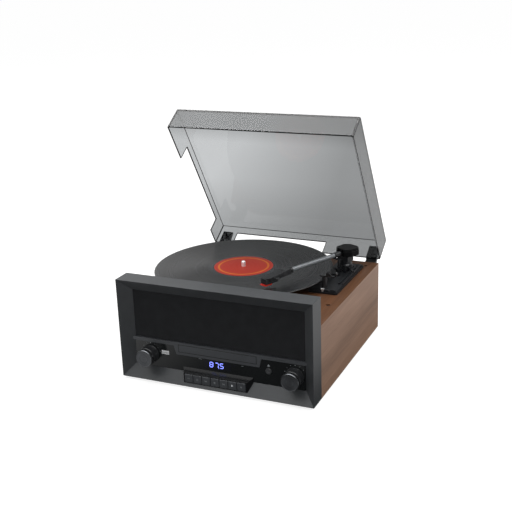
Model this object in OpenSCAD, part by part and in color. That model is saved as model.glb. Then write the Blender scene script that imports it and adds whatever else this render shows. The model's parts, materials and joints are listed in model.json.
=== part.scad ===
// Stereo music centre: a record deck, disc tray, tuner and two speakers in one wooden case.
// Drawn from the middle of the front frame's face, x to the right, y to the back and z up,
// then moved so that the origin lies under the middle of the whole object.

/* [Case] */
// Width of the wooden case and of the front frame
case_w = 327; // [315:1:380]
// Depth from the front frame's face to the back edges of the boards
case_d = 330; // [322:1:380]
// Height of the top board's upper face above the underside
case_h = 119; // [114:1:140]
// Thickness of the wooden boards
board_t = 10; // [8:0.5:12]
// Thickness of the rear panel
rear_t = 4; // [3:0.5:6]
// Depth that the rear panel sits inside the back edges
rear_inset = 4; // [2:0.5:8]
// Height of the rubber feet
foot_h = 4; // [3:0.5:10]
// Radius of a rubber foot
foot_r = 11; // [8:0.5:15]
// Distance of a foot's centre from the sides
foot_inset = 26; // [20:1:40]
// Radius of the heads of the deck screws
screw_head_r = 3.4; // [2.5:0.1:4.5]

/* [Front frame] */
// Height of the front frame
frame_h = 164.5; // [160:0.5:190]
// Depth of the front frame
frame_d = 33.5; // [32:0.5:45]
// Wall thickness of the moulded frame
frame_wall = 3; // [2:0.25:4]
// Width of the bevel at the sides
bevel_w = 19; // [12:0.5:24]
// Height of the bevel at the top
bevel_top = 20; // [12:0.5:24]
// Depth of the bevel, down to the grille
bevel_d = 17; // [16:0.5:18]
// Height of the sloped sill under the control panel
sill_h = 18.5; // [16:0.5:21]
// Depth of the sill, down to the control panel
sill_d = 15; // [14:0.5:15.5]
// Height of the crossbar's top edge, where the grille starts
bar_top = 66; // [65:0.5:67]
// Height of the crossbar
bar_h = 6; // [5:0.5:7]
// Thickness of the grille's cloth
grille_cloth = 1; // [0.6:0.1:1.5]

/* [Controls] */
// Thickness of the glossy control panel
panel_t = 3; // [2:0.5:3]
// Radius of a rotary knob
knob_r = 14.5; // [12:0.5:16]
// Length of a rotary knob in front of the panel
knob_l = 24; // [16:0.5:28]
// Height of both knob axes
knob_z = 40.2; // [38:0.1:42]
// Left knob's axis, left of the middle
knob_left_x = 117; // [112:0.5:120]
// Right knob's axis, right of the middle
knob_right_x = 129; // [125:0.5:129]
// Number of keys
key_n = 7; // [7]
// Distance from key to key
key_pitch = 15; // [14:0.1:15.2]
// Height of a key
key_h = 13.6; // [11:0.2:14]
// Travel of a key
key_travel = 1.5; // [1:0.1:2]
// Radius of the eject button
eject_r = 5; // [4:0.25:6]
// Eject button's centre, right of the middle
eject_x = 86; // [84:0.5:90]
// Eject button's height
eject_z = 41.5; // [39:0.5:43]
// Display window's width
display_w = 46; // [36:1:50]
// Display window's height
display_h = 14; // [11:0.5:14.5]

/* [Disc player] */
// Width of the tray's door
door_w = 132; // [130:0.5:134]
// Height of the tray's door
door_h = 11.3; // [10.5:0.1:11.5]
// Height of the tray door's underside
door_z = 50.7; // [50:0.1:51]
// Length of the tray behind the door
tray_l = 164; // [158:1:170]
// Radius of the disc recess in the tray
disc_recess_r = 60.6; // [60.2:0.1:61]
// Radius of the disc hub
hub_r = 14.5; // [11:0.5:15]

/* [Record deck] */
// Radius of the record
record_r = 150.8; // [148:0.1:151.5]
// Thickness of the record at its edge and label
record_t = 1.6; // [1.2:0.1:2.4]
// Radius of the record's paper label
label_r = 50; // [48:0.5:52]
// Height of the record's upper face above the top board
record_lift = 18; // [17:0.5:19]
// Spindle's place left of the middle
spindle_left = 33; // [32:0.5:36]
// Spindle's distance behind the front frame's face
spindle_y = 194; // [194:0.5:196]
// Radius of the platter
platter_r = 98; // [95:1:105]
// Height of the platter
platter_h = 11; // [10:0.5:11.5]
// Thickness of the slip mat
mat_t = 2; // [1.5:0.25:3]
// Radius of the spindle above the platter
spindle_r = 3.6; // [3.5:0.02:3.62]
// Length of the spindle above the record
spindle_up = 10; // [6:0.5:10.5]
// Radius of the ring under the platter that the belt drives
drive_ring_r = 74; // [70:0.5:76]
// Radius of the motor's pulley
pulley_r = 4; // [3:0.25:5]

/* [Tonearm] */
// Tonearm pivot's distance from the right side
pivot_inset = 43.5; // [43:0.5:45]
// Tonearm pivot's distance from the back
pivot_back = 53; // [52:0.5:54]
// Height of the tonearm's tube above the top board
arm_rise = 33; // [32.5:0.1:33.5]
// Distance that the stylus reaches past the spindle
overhang = 12; // [10:0.5:14]
// Distance of the stylus from the spindle, as it stands
play_r = 114; // [100:0.5:125]
// Radius of the tonearm's tube
tube_r = 3.7; // [3:0.1:4]
// Length of the headshell
shell_l = 58; // [50:1:60]
// Width of the headshell
shell_w = 17; // [15:0.5:18]
// Gap from the stylus tip to the record, as it stands
stylus_gap = 2; // [1.8:0.1:3]
// Width of the tonearm's base plate
base_w = 49; // [46:0.5:49]
// Length of the tonearm's base plate
base_l = 145; // [140:1:146]
// Thickness of the tonearm's base plate
base_t = 5; // [4:0.5:6]

/* [Dust cover] */
// Angle that the dust cover stands open
lid_angle = 58; // [45:1:62]
// Wall thickness of the dust cover
lid_t = 2.6; // [2:0.1:3]
// Width of the cover, less than the case
lid_side_gap = 1.25; // [1:0.25:3]
// Gap between the closed cover and the front frame
lid_front_gap = 2.1; // [1.5:0.1:4]
// Depth of the closed cover's top below the top of the frame
lid_drop = 1.5; // [0:0.25:2]
// Height of the closed cover's rim above the top board
lid_rim_gap = 0.6; // [0.4:0.1:1.5]
// Hinge axis behind the back edges of the boards
hinge_back = 8.5; // [8:0.25:10]
// Hinge axis below the top board's upper face
hinge_down = 13.2; // [12:0.2:15]
// Width of a hinge
hinge_w = 21; // [19:0.5:23]
// Hinge's centre from the side of the case
hinge_inset = 19; // [17:0.5:20]

/* [Hidden] */
$fn = 64;

eps = 0.01;       // overrun of a cut
foot_screw = 7;   // depth of a foot's screw in the bottom board
part_gap = 0.3;   // gap around a piece that drops into an opening
slide_gap = 0.4;  // gap around a piece that slides
run_gap = 0.05;   // radial gap of a turning fit

half_w = case_w / 2;
inner_w = case_w - 2 * board_t;
inner_top = case_h - board_t;
rear_y = case_d - rear_inset - rear_t;

// front frame
frame_land = 0.6;               // narrow flat edge round the bevels
throat_half = half_w - bevel_w;
throat_top = frame_h - bevel_top;
bar_z = bar_top - bar_h;
bar_y = sill_d - 1;
bar_half = half_w - frame_land - (bevel_w - frame_land) * bar_y / bevel_d - 0.15;
lip_y = bevel_d + frame_wall;
frame_back = frame_d - frame_wall;

// control panel
panel_y = sill_d;
panel_back = panel_y + panel_t;
board_y = panel_back + 6;       // front circuit board's front face
pcb_t = 1.6;
switch_l = 4.2;                 // height of a key switch with its plunger
eject_travel = 1;
surround_wide = 75;
surround_narrow = 71;
surround_z = door_z - 5.2;
knob_front_y = panel_y - knob_l - 0.5;
shaft_r = 3;
bush_r = 4.5;
usb_x = -91.4;
usb_z = 45;
usb_w = 13;
usb_h = 6.4;
display_z = surround_z - 1.6 - display_h / 2;
remote_x = 29;
remote_z = 41;

// rear sockets
rca_x = -118;
rca_pitch = 18;
rca_z = 40;
aux_x = -76;
inlet_x = 112;
inlet_z = 40;
inlet_w = 22;
inlet_h = 14;

// keys
bank_front = 3;
bank_z = 5.3;
bank_wall = 1.2;
bank_top = bank_z + key_h + 2 * bank_wall;
bank_half = (key_n * key_pitch + 0.6) / 2 + bank_wall;
bank_flare = 6.5;
bank_rise = 4.7;
key_z = bank_z + bank_wall + key_h / 2;
key_w = key_pitch - 0.9;

// disc player
disc_y = panel_y + 71;
tray_half = 64.5;
tray_z = door_z + 0.8;
tray_floor = 1.6;
tray_h = 5.6;
chassis_half = 70;
chassis_z = 43.5;
chassis_wall = 2;
chassis_front = 34;
chassis_back = 206;
chassis_top = 63.5;
rod_r = 1.5;
rod_z = 47.5;
rod_x = 18;
sled_front = disc_y + hub_r + 4;
sled_l = 24;
sled_travel = 33;
sled_end = sled_front + sled_l + sled_travel;
hub_shaft_r = 1.5;

// record deck
spindle_x = -spindle_left;
record_z = case_h + record_lift - record_t;
mat_z = record_z - mat_t;
platter_z = mat_z - platter_h;
bearing_r = 7;
shaft_low_r = 3.45;
belt_t = 1;
belt_gap = 0.3;
belt_w = 4;
belt_z = platter_z + 3.2;
pulley_angle = 215;
pulley_dist = drive_ring_r + pulley_r + 6;
pulley_x = spindle_x + pulley_dist * cos(pulley_angle);
pulley_y = spindle_y + pulley_dist * sin(pulley_angle);
motor_r = 17.5;
motor_shaft_r = 1;

// tonearm: the arm's own frame starts at its pivot, x along the arm to the headshell
pivot_x = half_w - pivot_inset;
pivot_y = case_d - pivot_back;
arm_z = case_h + arm_rise;
mount_dist = norm([pivot_x - spindle_x, pivot_y - spindle_y]);
arm_l = mount_dist + overhang;
spindle_dir = atan2(spindle_y - pivot_y, spindle_x - pivot_x) + 360;
arm_dir = spindle_dir + acos((mount_dist ^ 2 + arm_l ^ 2 - play_r ^ 2) / (2 * mount_dist * arm_l));
park_dir = 270;
shell_end = arm_l + 2.5;
shell_start = shell_end - shell_l;
base_right = pivot_x + 25.5;
base_front = pivot_y - base_l + 25;
base_z = case_h;
base_top = base_z + base_t;
rest_y = pivot_y - 107.5;
rest_post_r = 4.4;
rest_x = pivot_x + 1;
cradle_z = arm_z - tube_r - 1.5;
clip_x = pivot_x + 7.5;
clip_z = arm_z - 3;
clip_angle = 150;
yoke_gap = 8.6;
ear_t = 3.5;
pin_r = 1.5;
sleeve_r = tube_r + 1.1;
sleeve_end = 27.5;
lift_r = sleeve_end - 3.5;
lift_gap = 0.3;
lift_t = 2.4;
stem_r = 2.4;
stem_dir = park_dir - 8;
lift_travel = 2.4;
lever_x = pivot_x + 10;
lever_y = pivot_y - 22;
lever_z = base_top + 11;
lever_dir = -38;
speed_x = pivot_x + 0.5;
speed_y = base_front + 2.9;
speed_travel = 8;

// dust cover, drawn closed and then opened about the hinge
lid_half = half_w - lid_side_gap;
lid_top = frame_h - lid_drop;
lid_rim = case_h + lid_rim_gap;
lid_front = frame_d + lid_front_gap;
lid_back = case_d;
lid_round = 3;
hinge_y = case_d + hinge_back;
hinge_z = case_h - hinge_down;
hinge_x = half_w - hinge_inset;
hinge_pin_r = 2.5;
knuckle_r = 5.2;

// middle of the whole object, which becomes the origin
low_x = min(-half_w, spindle_x - record_r);
mid_x = (low_x + half_w) / 2;
open_reach = hinge_y + (lid_back - hinge_y) * cos(lid_angle) + (lid_top - hinge_z) * sin(lid_angle);
mid_y = (knob_front_y + open_reach) / 2;

// ---- helpers ----

module placed() {
    translate([-mid_x, -mid_y, foot_h]) children();
}

// a box from its low corner to its high corner
module block(low, high) {
    translate(low) cube(high - low);
}

// a rectangle with true round corners, about its centre
module round_rect(w, h, r) {
    square([w - 2 * r, h], center = true);
    square([w, h - 2 * r], center = true);
    for (x = [-1, 1], y = [-1, 1]) translate([x * (w / 2 - r), y * (h / 2 - r)]) circle(r);
}

// a profile of [y, z] points drawn along x
module along_x(half, points) {
    translate([-half, 0, 0]) rotate([90, 0, 90]) linear_extrude(2 * half) polygon(points);
}

// a cylinder along y, from y0 to y1
module rod_y(x, z, r, y0, y1) {
    translate([x, y1, z]) rotate([90, 0, 0]) cylinder(r = r, h = y1 - y0);
}

// a slot with round ends, w wide and h long over all, upright unless it is wider than long
module slot(w, h) {
    if (w < h) {
        square([w, h - w], center = true);
        for (s = [-1, 1]) translate([0, s * (h - w) / 2]) circle(w / 2);
    } else {
        square([w - h, h], center = true);
        for (s = [-1, 1]) translate([s * (w - h) / 2, 0]) circle(h / 2);
    }
}

module arm_frame() {
    translate([pivot_x, pivot_y, arm_z]) rotate([0, 0, arm_dir]) children();
}

module opened() {
    translate([0, hinge_y, hinge_z]) rotate([-lid_angle, 0, 0]) translate([0, -hinge_y, -hinge_z])
        children();
}

// the four places of the deck screws in the top board
module deck_screw_places() {
    for (x = [-1, 1], y = [frame_d + 81, case_d - 21])
        translate([x * (half_w - 17.5), y, case_h]) children();
}

// ---- case ----

module top_board() {
    color([0.37, 0.25, 0.16]) difference() {
        translate([0, case_d, 0]) rotate([90, 0, 0]) linear_extrude(case_d - frame_d)
            polygon([[-half_w, case_h], [half_w, case_h], [half_w - board_t, inner_top],
                [board_t - half_w, inner_top]]);
        translate([spindle_x, spindle_y, 0]) cylinder(r = bearing_r, h = case_h + 1);
        translate([pulley_x, pulley_y, 0]) cylinder(r = pulley_r + 1.5, h = case_h + 1);
        translate([pivot_x, pivot_y, 0]) cylinder(r = 8, h = case_h + 1);
        lift_stem_place() cylinder(r = stem_r + 2.6, h = 3 * board_t, center = true);
        deck_screw_places() screw_cut();
    }
}

module lift_stem_place() {
    translate([pivot_x + lift_r * cos(stem_dir), pivot_y + lift_r * sin(stem_dir), case_h]) children();
}

// a countersunk hole under z = 0
module screw_cut() {
    translate([0, 0, -1.75]) cylinder(r = screw_head_r + 0.1, h = 3);
    translate([0, 0, -3.25]) cylinder(r1 = 1.7, r2 = screw_head_r + 0.1, h = 1.5 + eps);
    translate([0, 0, -26]) cylinder(r = 1.7, h = 24);
}

module deck_screw() {
    translate([0, 0, -1.7]) difference() {
        union() {
            cylinder(r = screw_head_r, h = 0.5);
            translate([0, 0, -1.5]) cylinder(r1 = 1.6, r2 = screw_head_r, h = 1.5 + eps);
            translate([0, 0, -20]) cylinder(r = 1.6, h = 19);
        }
        for (a = [0, 90]) rotate([0, 0, a]) cube([3.6, 0.8, 1.4], center = true);
    }
}

// the right-hand side board, with the blocks that the deck screws bite into
module side_board() {
    difference() {
        union() {
            translate([0, case_d, 0]) rotate([90, 0, 0]) linear_extrude(case_d - frame_d)
                polygon([[half_w, 0], [half_w, case_h], [half_w - board_t, inner_top],
                    [half_w - board_t, board_t]]);
            for (y = [frame_d + 81, case_d - 21])
                block([half_w - 25, y - 8, inner_top - 26], [half_w - board_t + eps, y + 8, inner_top]);
            // cleat behind the rear panel
            block([half_w - board_t - 16, rear_y - 12, board_t], [half_w - board_t + eps, rear_y, inner_top]);
        }
        deck_screw_places() screw_cut();
        rear_screw_places() rotate([90, 0, 0]) cylinder(r = 1.62, h = rear_t + 8.5);
    }
}

module side_board_right() {
    color([0.52, 0.43, 0.37]) side_board();
}

module side_board_left() {
    color([0.52, 0.43, 0.37]) mirror([1, 0, 0]) side_board();
}

module foot_places() {
    for (x = [-1, 1], y = [frame_d + foot_inset, case_d - foot_inset])
        translate([x * (half_w - foot_inset), y, 0]) children();
}

module bottom_board() {
    color([0.33, 0.26, 0.2]) difference() {
        translate([0, case_d, 0]) rotate([90, 0, 0]) linear_extrude(case_d - frame_d)
            polygon([[-half_w, 0], [half_w, 0], [half_w - board_t, board_t], [board_t - half_w, board_t]]);
        foot_places() cylinder(r = 1.62, h = 2 * foot_screw, center = true);
        // ventilation slots under the power supply
        for (i = [0 : 7]) translate([70 + i * 8, 230, 0]) linear_extrude(3 * board_t, center = true)
            slot(3, 40);
    }
}

module rubber_feet() {
    color([0.1, 0.1, 0.1]) foot_places() translate([0, 0, -foot_h]) difference() {
        union() {
            cylinder(r = foot_r, h = foot_h - 0.6);
            translate([0, 0, foot_h - 0.6]) cylinder(r1 = foot_r, r2 = foot_r - 0.6, h = 0.6);
        }
        translate([0, 0, -eps]) cylinder(r = 4, h = foot_h - 1.5);
        translate([0, 0, -eps]) cylinder(r = 1.8, h = foot_h + 1);
    }
}

module rear_panel() {
    color([0.12, 0.11, 0.1]) difference() {
        block([-inner_w / 2, rear_y, board_t], [inner_w / 2, rear_y + rear_t, inner_top]);
        for (i = [0 : 1]) translate([rca_x + i * rca_pitch, 0, rca_z]) rotate([-90, 0, 0])
            cylinder(r = 6.6, h = case_d);
        translate([aux_x, 0, rca_z]) rotate([-90, 0, 0]) cylinder(r = 4.1, h = case_d);
        translate([inlet_x, rear_y, inlet_z]) rotate([90, 0, 0]) linear_extrude(3 * rear_t, center = true)
            round_rect(inlet_w + 0.4, inlet_h + 0.4, 3);
        for (i = [0 : 9]) translate([-20 + i * 9, rear_y, 78]) rotate([90, 0, 0])
            linear_extrude(3 * rear_t, center = true) slot(4, 30);
        rear_screw_places() rotate([-90, 0, 0]) cylinder(r = 1.7, h = 3 * rear_t, center = true);
    }
}

module rear_screw_places() {
    for (x = [-1, 1], z = [board_t + 10, inner_top - 34])
        translate([x * (inner_w / 2 - 8), rear_y + rear_t, z]) children();
}

// pan-head screws of the feet, rear panel and deck
module case_screws() {
    color([0.08, 0.08, 0.08]) {
        deck_screw_places() deck_screw();
        foot_places() {
            translate([0, 0, 1.5 - foot_h]) cylinder(r = 3.4, h = foot_h - 3 - eps);
            translate([0, 0, -1.5 - eps]) cylinder(r = 1.6, h = 1.5 + foot_screw);
        }
        rear_screw_places() rotate([90, 0, 0]) {
            translate([0, 0, -2]) cylinder(r = 3.2, h = 2);
            cylinder(r = 1.6, h = rear_t + 8);
        }
    }
}

// ---- front frame ----

// the space in front of the frame's bevels, moved outwards by grow
module funnel(grow) {
    slope_x = (bevel_w - frame_land) / bevel_d;
    slope_top = (bevel_top - frame_land) / bevel_d;
    slope_sill = (sill_h - frame_land) / sill_d;
    side = grow * norm([slope_x, 1]);
    top = grow * norm([slope_top, 1]);
    sill = grow * norm([slope_sill, 1]);
    edge_x = half_w - frame_land + slope_x;
    intersection() {
        translate([0, 0, -frame_h]) linear_extrude(3 * frame_h) polygon([
            [-edge_x - side, -1], [edge_x + side, -1],
            [throat_half + side, bevel_d], [throat_half + side, frame_back],
            [-throat_half - side, frame_back], [-throat_half - side, bevel_d]]);
        along_x(case_w, [[-1, frame_land - sill - slope_sill],
            [-1, frame_h - frame_land + top + slope_top],
            [bevel_d, throat_top + top], [frame_back, throat_top + top],
            [frame_back, sill_h - sill], [sill_d, sill_h - sill]]);
    }
}

// outline of the trim around the disc tray's door, joined to the crossbar
module surround_outline(grow) {
    polygon([[-surround_wide - grow, bar_z + eps], [-surround_narrow - grow, surround_z - grow],
        [surround_narrow + grow, surround_z - grow], [surround_wide + grow, bar_z + eps]]);
}

module front_view(y0, y1) {
    translate([0, y1, 0]) rotate([90, 0, 0]) linear_extrude(y1 - y0) children();
}

module front_frame() {
    color([0.2, 0.21, 0.22]) difference() {
        union() {
            difference() {
                block([-half_w, 0, 0], [half_w, frame_d, frame_h]);
                funnel(0);
                // hollow behind the bevels and behind the lip round the throat
                difference() {
                    block([frame_wall - half_w, frame_wall, frame_wall],
                        [half_w - frame_wall, frame_back, frame_h - frame_wall]);
                    intersection() {
                        funnel(frame_wall);
                        block([-half_w, -frame_d, 0], [half_w, lip_y, frame_h]);
                    }
                }
                // way into the case
                block([-inner_w / 2, lip_y, board_t], [inner_w / 2, frame_d + 1, inner_top]);
            }
            // crossbar between the grille and the control panel, with the trim round the tray
            front_view(bar_y, lip_y) {
                translate([-bar_half, bar_z]) square([2 * bar_half, bar_h]);
                surround_outline(0);
            }
        }
        front_view(-1, frame_d) translate([0, door_z + door_h / 2])
            round_rect(door_w + 2 * part_gap, door_h + 2 * part_gap, 1.5);
        bank_shape(0.2);
    }
}

module speaker_places() {
    for (x = [-1, 1]) translate([x * 100, 0, bar_top + 20.5]) children();
}

module speaker_baffle() {
    color([0.13, 0.13, 0.13]) difference() {
        block([-throat_half - 8, lip_y, bar_top - 3], [throat_half + 8, lip_y + 7, throat_top + 8]);
        speaker_places() rotate([-90, 0, 0]) cylinder(r = 19.5, h = frame_d);
    }
}

// the grille: cloth stretched over an open frame with one upright
module speaker_grille() {
    low_z = bar_top + part_gap;
    high_z = throat_top - part_gap;
    wide = throat_half - part_gap;
    rail = 7;
    color([0.11, 0.11, 0.12]) difference() {
        block([-wide, bevel_d, low_z], [wide, lip_y, high_z]);
        for (s = [-1, 1]) translate([s * wide / 2, lip_y, (low_z + high_z) / 2]) rotate([90, 0, 0])
            linear_extrude(2 * (lip_y - bevel_d - grille_cloth), center = true)
                round_rect(wide - 1.5 * rail, high_z - low_z - 2 * rail, 3);
    }
}

module speaker_frames() {
    y = lip_y + 7;
    color([0.3, 0.3, 0.32]) speaker_places() rotate([-90, 0, 0]) translate([0, 0, y]) difference() {
        union() {
            rotate_extrude() polygon([[0, 0], [25, 0], [25, 1.6], [21, 1.6], [13, 12], [13, 14], [0, 14]]);
            translate([0, 0, 14]) cylinder(r = 15.5, h = 9);
            translate([0, 0, 23]) cylinder(r = 13, h = 2);
        }
        translate([0, 0, -1]) rotate_extrude() polygon([[0, 0], [20, 0], [20, 2.4], [11.5, 12.5],
            [0, 12.5]]);
    }
}

module speaker_cones() {
    y = lip_y + 7;
    color([0.08, 0.08, 0.09]) speaker_places() rotate([-90, 0, 0]) translate([0, 0, y])
        rotate_extrude() polygon([[0, 6.2], [5, 8], [8, 9.4], [16.4, 1.6], [17.6, 0.6], [19.6, 1.2],
            [19.6, 1.8], [17.6, 1.6], [9, 10.6], [8, 11.4], [0, 11.4]]);
}

// ---- control panel ----

module control_panel() {
    wide = throat_half - part_gap / 2;
    color([0.06, 0.06, 0.065]) difference() {
        front_view(panel_y, panel_back) difference() {
            translate([-wide, sill_h + part_gap]) square([2 * wide, bar_z - sill_h - 2 * part_gap]);
            surround_outline(part_gap);
            translate([0, display_z]) round_rect(display_w + 2 * 0.1, display_h + 2 * 0.1, 1.1);
            for (x = [-knob_left_x, knob_right_x]) translate([x, knob_z]) circle(bush_r + part_gap);
            translate([eject_x, eject_z]) circle(eject_r + slide_gap);
            translate([usb_x, usb_z]) square([usb_w + 0.6, usb_h + 0.6], center = true);
            translate([remote_x, remote_z]) circle(2.1);
            translate([-bank_half - bank_flare - 0.2, 0])
                square([2 * (bank_half + bank_flare + 0.2), bank_top + bank_rise + 0.2]);
        }
    }
}

// smoked window of the display and the round window of the remote receiver
module display_lens() {
    color([0.03, 0.03, 0.05]) front_view(panel_y, panel_back) {
        translate([0, display_z]) round_rect(display_w, display_h, 1);
        translate([remote_x, remote_z]) circle(2);
    }
}

// circuit board behind the control panel, with the display, key switches and receiver on it
module front_circuit_board() {
    half = 138;
    color([0.1, 0.3, 0.16]) {
        front_view(board_y, board_y + pcb_t) difference() {
            translate([-half, 7]) square([2 * half, 43.5]);
            translate([-chassis_half - 8, door_z - 6.5]) square([2 * (chassis_half + 8), 20]);
        }
        block([-display_w / 2 + 1, board_y - 5.4, display_z - display_h / 2 + 1],
            [display_w / 2 - 1, board_y, display_z + display_h / 2 - 1.4]);
        for (i = [1 : key_n]) translate([key_x(i), 0, key_z]) {
            block([-3, board_y - 3.5, -3], [3, board_y, 3]);
            rod_y(0, 0, 1.6, board_y - switch_l, board_y - 3.5);
        }
        translate([eject_x, 0, eject_z]) {
            block([-3, board_y - 3.5, -3], [3, board_y, 3]);
            rod_y(0, 0, 1.6, board_y - switch_l, board_y - 3.5);
        }
        block([remote_x - 2.6, board_y - 4, remote_z - 3], [remote_x + 2.6, board_y, remote_z + 3]);
    }
}

module rotary_encoders() {
    color([0.55, 0.55, 0.57]) for (x = [-knob_left_x, knob_right_x]) difference() {
        union() {
            block([x - 6, board_y - 5, knob_z - 6], [x + 6, board_y, knob_z + 6]);
            rod_y(x, knob_z, bush_r, panel_y - 1.5, board_y - 5);
        }
        rod_y(x, knob_z, shaft_r + run_gap, 0, board_y - 1);
    }
}

module usb_socket() {
    color([0.75, 0.76, 0.78]) difference() {
        block([usb_x - usb_w / 2, panel_y + 0.3, usb_z - usb_h / 2],
            [usb_x + usb_w / 2, board_y, usb_z + usb_h / 2]);
        difference() {
            block([usb_x - usb_w / 2 + 0.4, 0, usb_z - usb_h / 2 + 0.4],
                [usb_x + usb_w / 2 - 0.4, board_y - 0.6, usb_z + usb_h / 2 - 0.4]);
            // contact tongue in the upper half
            block([usb_x - 5.6, panel_y + 1.5, usb_z + 0.4], [usb_x + 5.6, board_y, usb_z + 2.2]);
        }
    }
}

// outline of the key housing, grown by gap on every side
module bank_shape(gap) {
    front = bank_half + gap;
    back = bank_half + bank_flare + gap;
    intersection() {
        linear_extrude(60) polygon([[-front, bank_front - gap], [front, bank_front - gap],
            [back, panel_y], [back, board_y - 4], [-back, board_y - 4], [-back, panel_y]]);
        along_x(case_w, [[bank_front - gap, bank_z - gap], [bank_front - gap, bank_top + gap],
            [panel_y, bank_top + bank_rise + gap], [board_y - 4, bank_top + bank_rise + gap],
            [board_y - 4, bank_z - gap]]);
    }
}

module key_housing() {
    half = bank_half - bank_wall;
    color([0.05, 0.05, 0.055]) difference() {
        bank_shape(0);
        block([-half, 0, bank_z + bank_wall - 0.3], [half, panel_y + 1, bank_top - bank_wall + 0.3]);
        for (i = [1 : key_n]) rod_y(key_x(i), key_z, 2.4, 0, frame_d);
    }
}

function key_x(i) = (i - (key_n + 1) / 2) * key_pitch;

// a key: a hollow cap with a chamfered face and a stem that works its switch
module key(i) {
    chamfer = 0.6;
    front = bank_front - 1;
    back = panel_y - 0.8 - key_travel;
    color([0.16, 0.165, 0.17]) translate([key_x(i), 0, key_z]) {
        difference() {
            intersection() {
                block([-key_w / 2, front, -key_h / 2], [key_w / 2, back, key_h / 2]);
                linear_extrude(2 * key_h, center = true) polygon([[-key_w / 2, back], [key_w / 2, back],
                    [key_w / 2, front + chamfer], [key_w / 2 - chamfer, front],
                    [chamfer - key_w / 2, front], [-key_w / 2, front + chamfer]]);
                along_x(key_w, [[back, -key_h / 2], [back, key_h / 2], [front + chamfer, key_h / 2],
                    [front, key_h / 2 - chamfer], [front, chamfer - key_h / 2],
                    [front + chamfer, -key_h / 2]]);
            }
            block([1.4 - key_w / 2, front + 2, 1.4 - key_h / 2],
                [key_w / 2 - 1.4, back + 1, key_h / 2 - 1.4]);
        }
        rod_y(0, 0, 2, front + 1.5, board_y - switch_l - key_travel - 0.1);
    }
}

module eject_button() {
    front = panel_y - 1.6;
    color([0.22, 0.22, 0.23]) {
        translate([eject_x, front, eject_z]) rotate([-90, 0, 0]) rotate_extrude() polygon([[0, 0.3],
            [1.6, 0.3], [2, 0], [eject_r - 0.5, 0], [eject_r, 0.5], [eject_r, 4], [0, 4]]);
        rod_y(eject_x, eject_z, 1.8, front + 3, board_y - switch_l - eject_travel - 0.1);
    }
}

// a knob with its shaft, about its own axis, front face at z = 0
module knob_body() {
    l = knob_l - 0.3;
    r = knob_r;
    rotate_extrude() polygon([[0, 0.25], [r - 1.4, 0.25], [r - 1.1, 0], [r - 0.7, 0], [r, 0.8], [r, 6.6],
        [r - 0.7, 7.2], [r - 0.7, 8], [r, 8.6], [r, l - 3], [r + 0.5, l - 2.5], [r + 0.5, l],
        [r - 2, l], [r - 2, 10], [bush_r + 1.6, 10], [bush_r + 1.6, l], [bush_r + 0.6, l],
        [bush_r + 0.6, l - 3.4], [shaft_r, l - 3.4], [shaft_r, l + 7.5], [0, l + 7.5]]);
}

module knob_left() {
    color([0.15, 0.155, 0.16]) translate([-knob_left_x, knob_front_y, knob_z]) rotate([-90, 0, 0])
        knob_body();
}

module knob_right() {
    color([0.15, 0.155, 0.16]) translate([knob_right_x, knob_front_y, knob_z]) rotate([-90, 0, 0])
        knob_body();
}

// ---- inside and rear ----

module main_circuit_board() {
    x0 = -134;
    x1 = -60;
    y0 = 210;
    y1 = rear_y - 0.3;
    z = board_t + 7;
    color([0.12, 0.34, 0.2]) {
        block([x0, y0, z], [x1, y1, z + pcb_t]);
        for (x = [x0 + 5, x1 - 5], y = [y0 + 5, y1 - 5]) translate([x, y, board_t])
            cylinder(r = 3, h = 7);
        // heat sink fins of the amplifier
        block([x0 + 14, y0 + 14, z + pcb_t], [x0 + 54, y0 + 30, z + pcb_t + 3]);
        for (i = [0 : 6]) block([x0 + 14 + i * 6.4, y0 + 14, z + pcb_t + 3],
            [x0 + 15.6 + i * 6.4, y0 + 30, z + pcb_t + 20]);
        for (i = [0 : 2]) translate([x0 + 18 + i * 17, y0 + 52, z + pcb_t]) cylinder(r = 6.3, h = 18);
    }
}

module mains_transformer() {
    x = 112;
    y = 232;
    color([0.5, 0.46, 0.4]) difference() {
        union() {
            block([x - 29, y - 12, board_t + 2], [x + 29, y + 12, board_t + 50]);
            block([x - 20, y - 24, board_t + 11], [x + 20, y + 24, board_t + 41]);
            block([x - 38, y - 12, board_t], [x + 38, y + 12, board_t + 2]);
        }
        for (s = [-1, 1]) translate([x + s * 33.5, y, board_t - 1]) cylinder(r = 2, h = 5);
    }
}

// two phono sockets and a small jack socket, in blocks that stand on the main circuit board
module rear_sockets() {
    color([0.8, 0.78, 0.7]) {
        difference() {
            union() {
                block([rca_x - 8, rear_y - 14, board_t + 7 + pcb_t],
                    [rca_x + rca_pitch + 8, rear_y - 0.3, rca_z + 8]);
                for (i = [0 : 1]) {
                    rod_y(rca_x + i * rca_pitch, rca_z, 6.4, rear_y - 0.4, rear_y + rear_t + 1);
                    rod_y(rca_x + i * rca_pitch, rca_z, 4.15, rear_y, rear_y + rear_t + 9.5);
                }
            }
            for (i = [0 : 1]) rod_y(rca_x + i * rca_pitch, rca_z, 1.65, rear_y - 8, case_d + 20);
        }
    }
    color([0.1, 0.1, 0.1]) difference() {
        union() {
            block([aux_x - 5.5, rear_y - 13, board_t + 7 + pcb_t], [aux_x + 5.5, rear_y - 0.3, rca_z + 5.5]);
            rod_y(aux_x, rca_z, 4, rear_y - 0.4, rear_y + rear_t + 1.2);
        }
        rod_y(aux_x, rca_z, 1.8, rear_y - 11, case_d + 20);
    }
}

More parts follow.
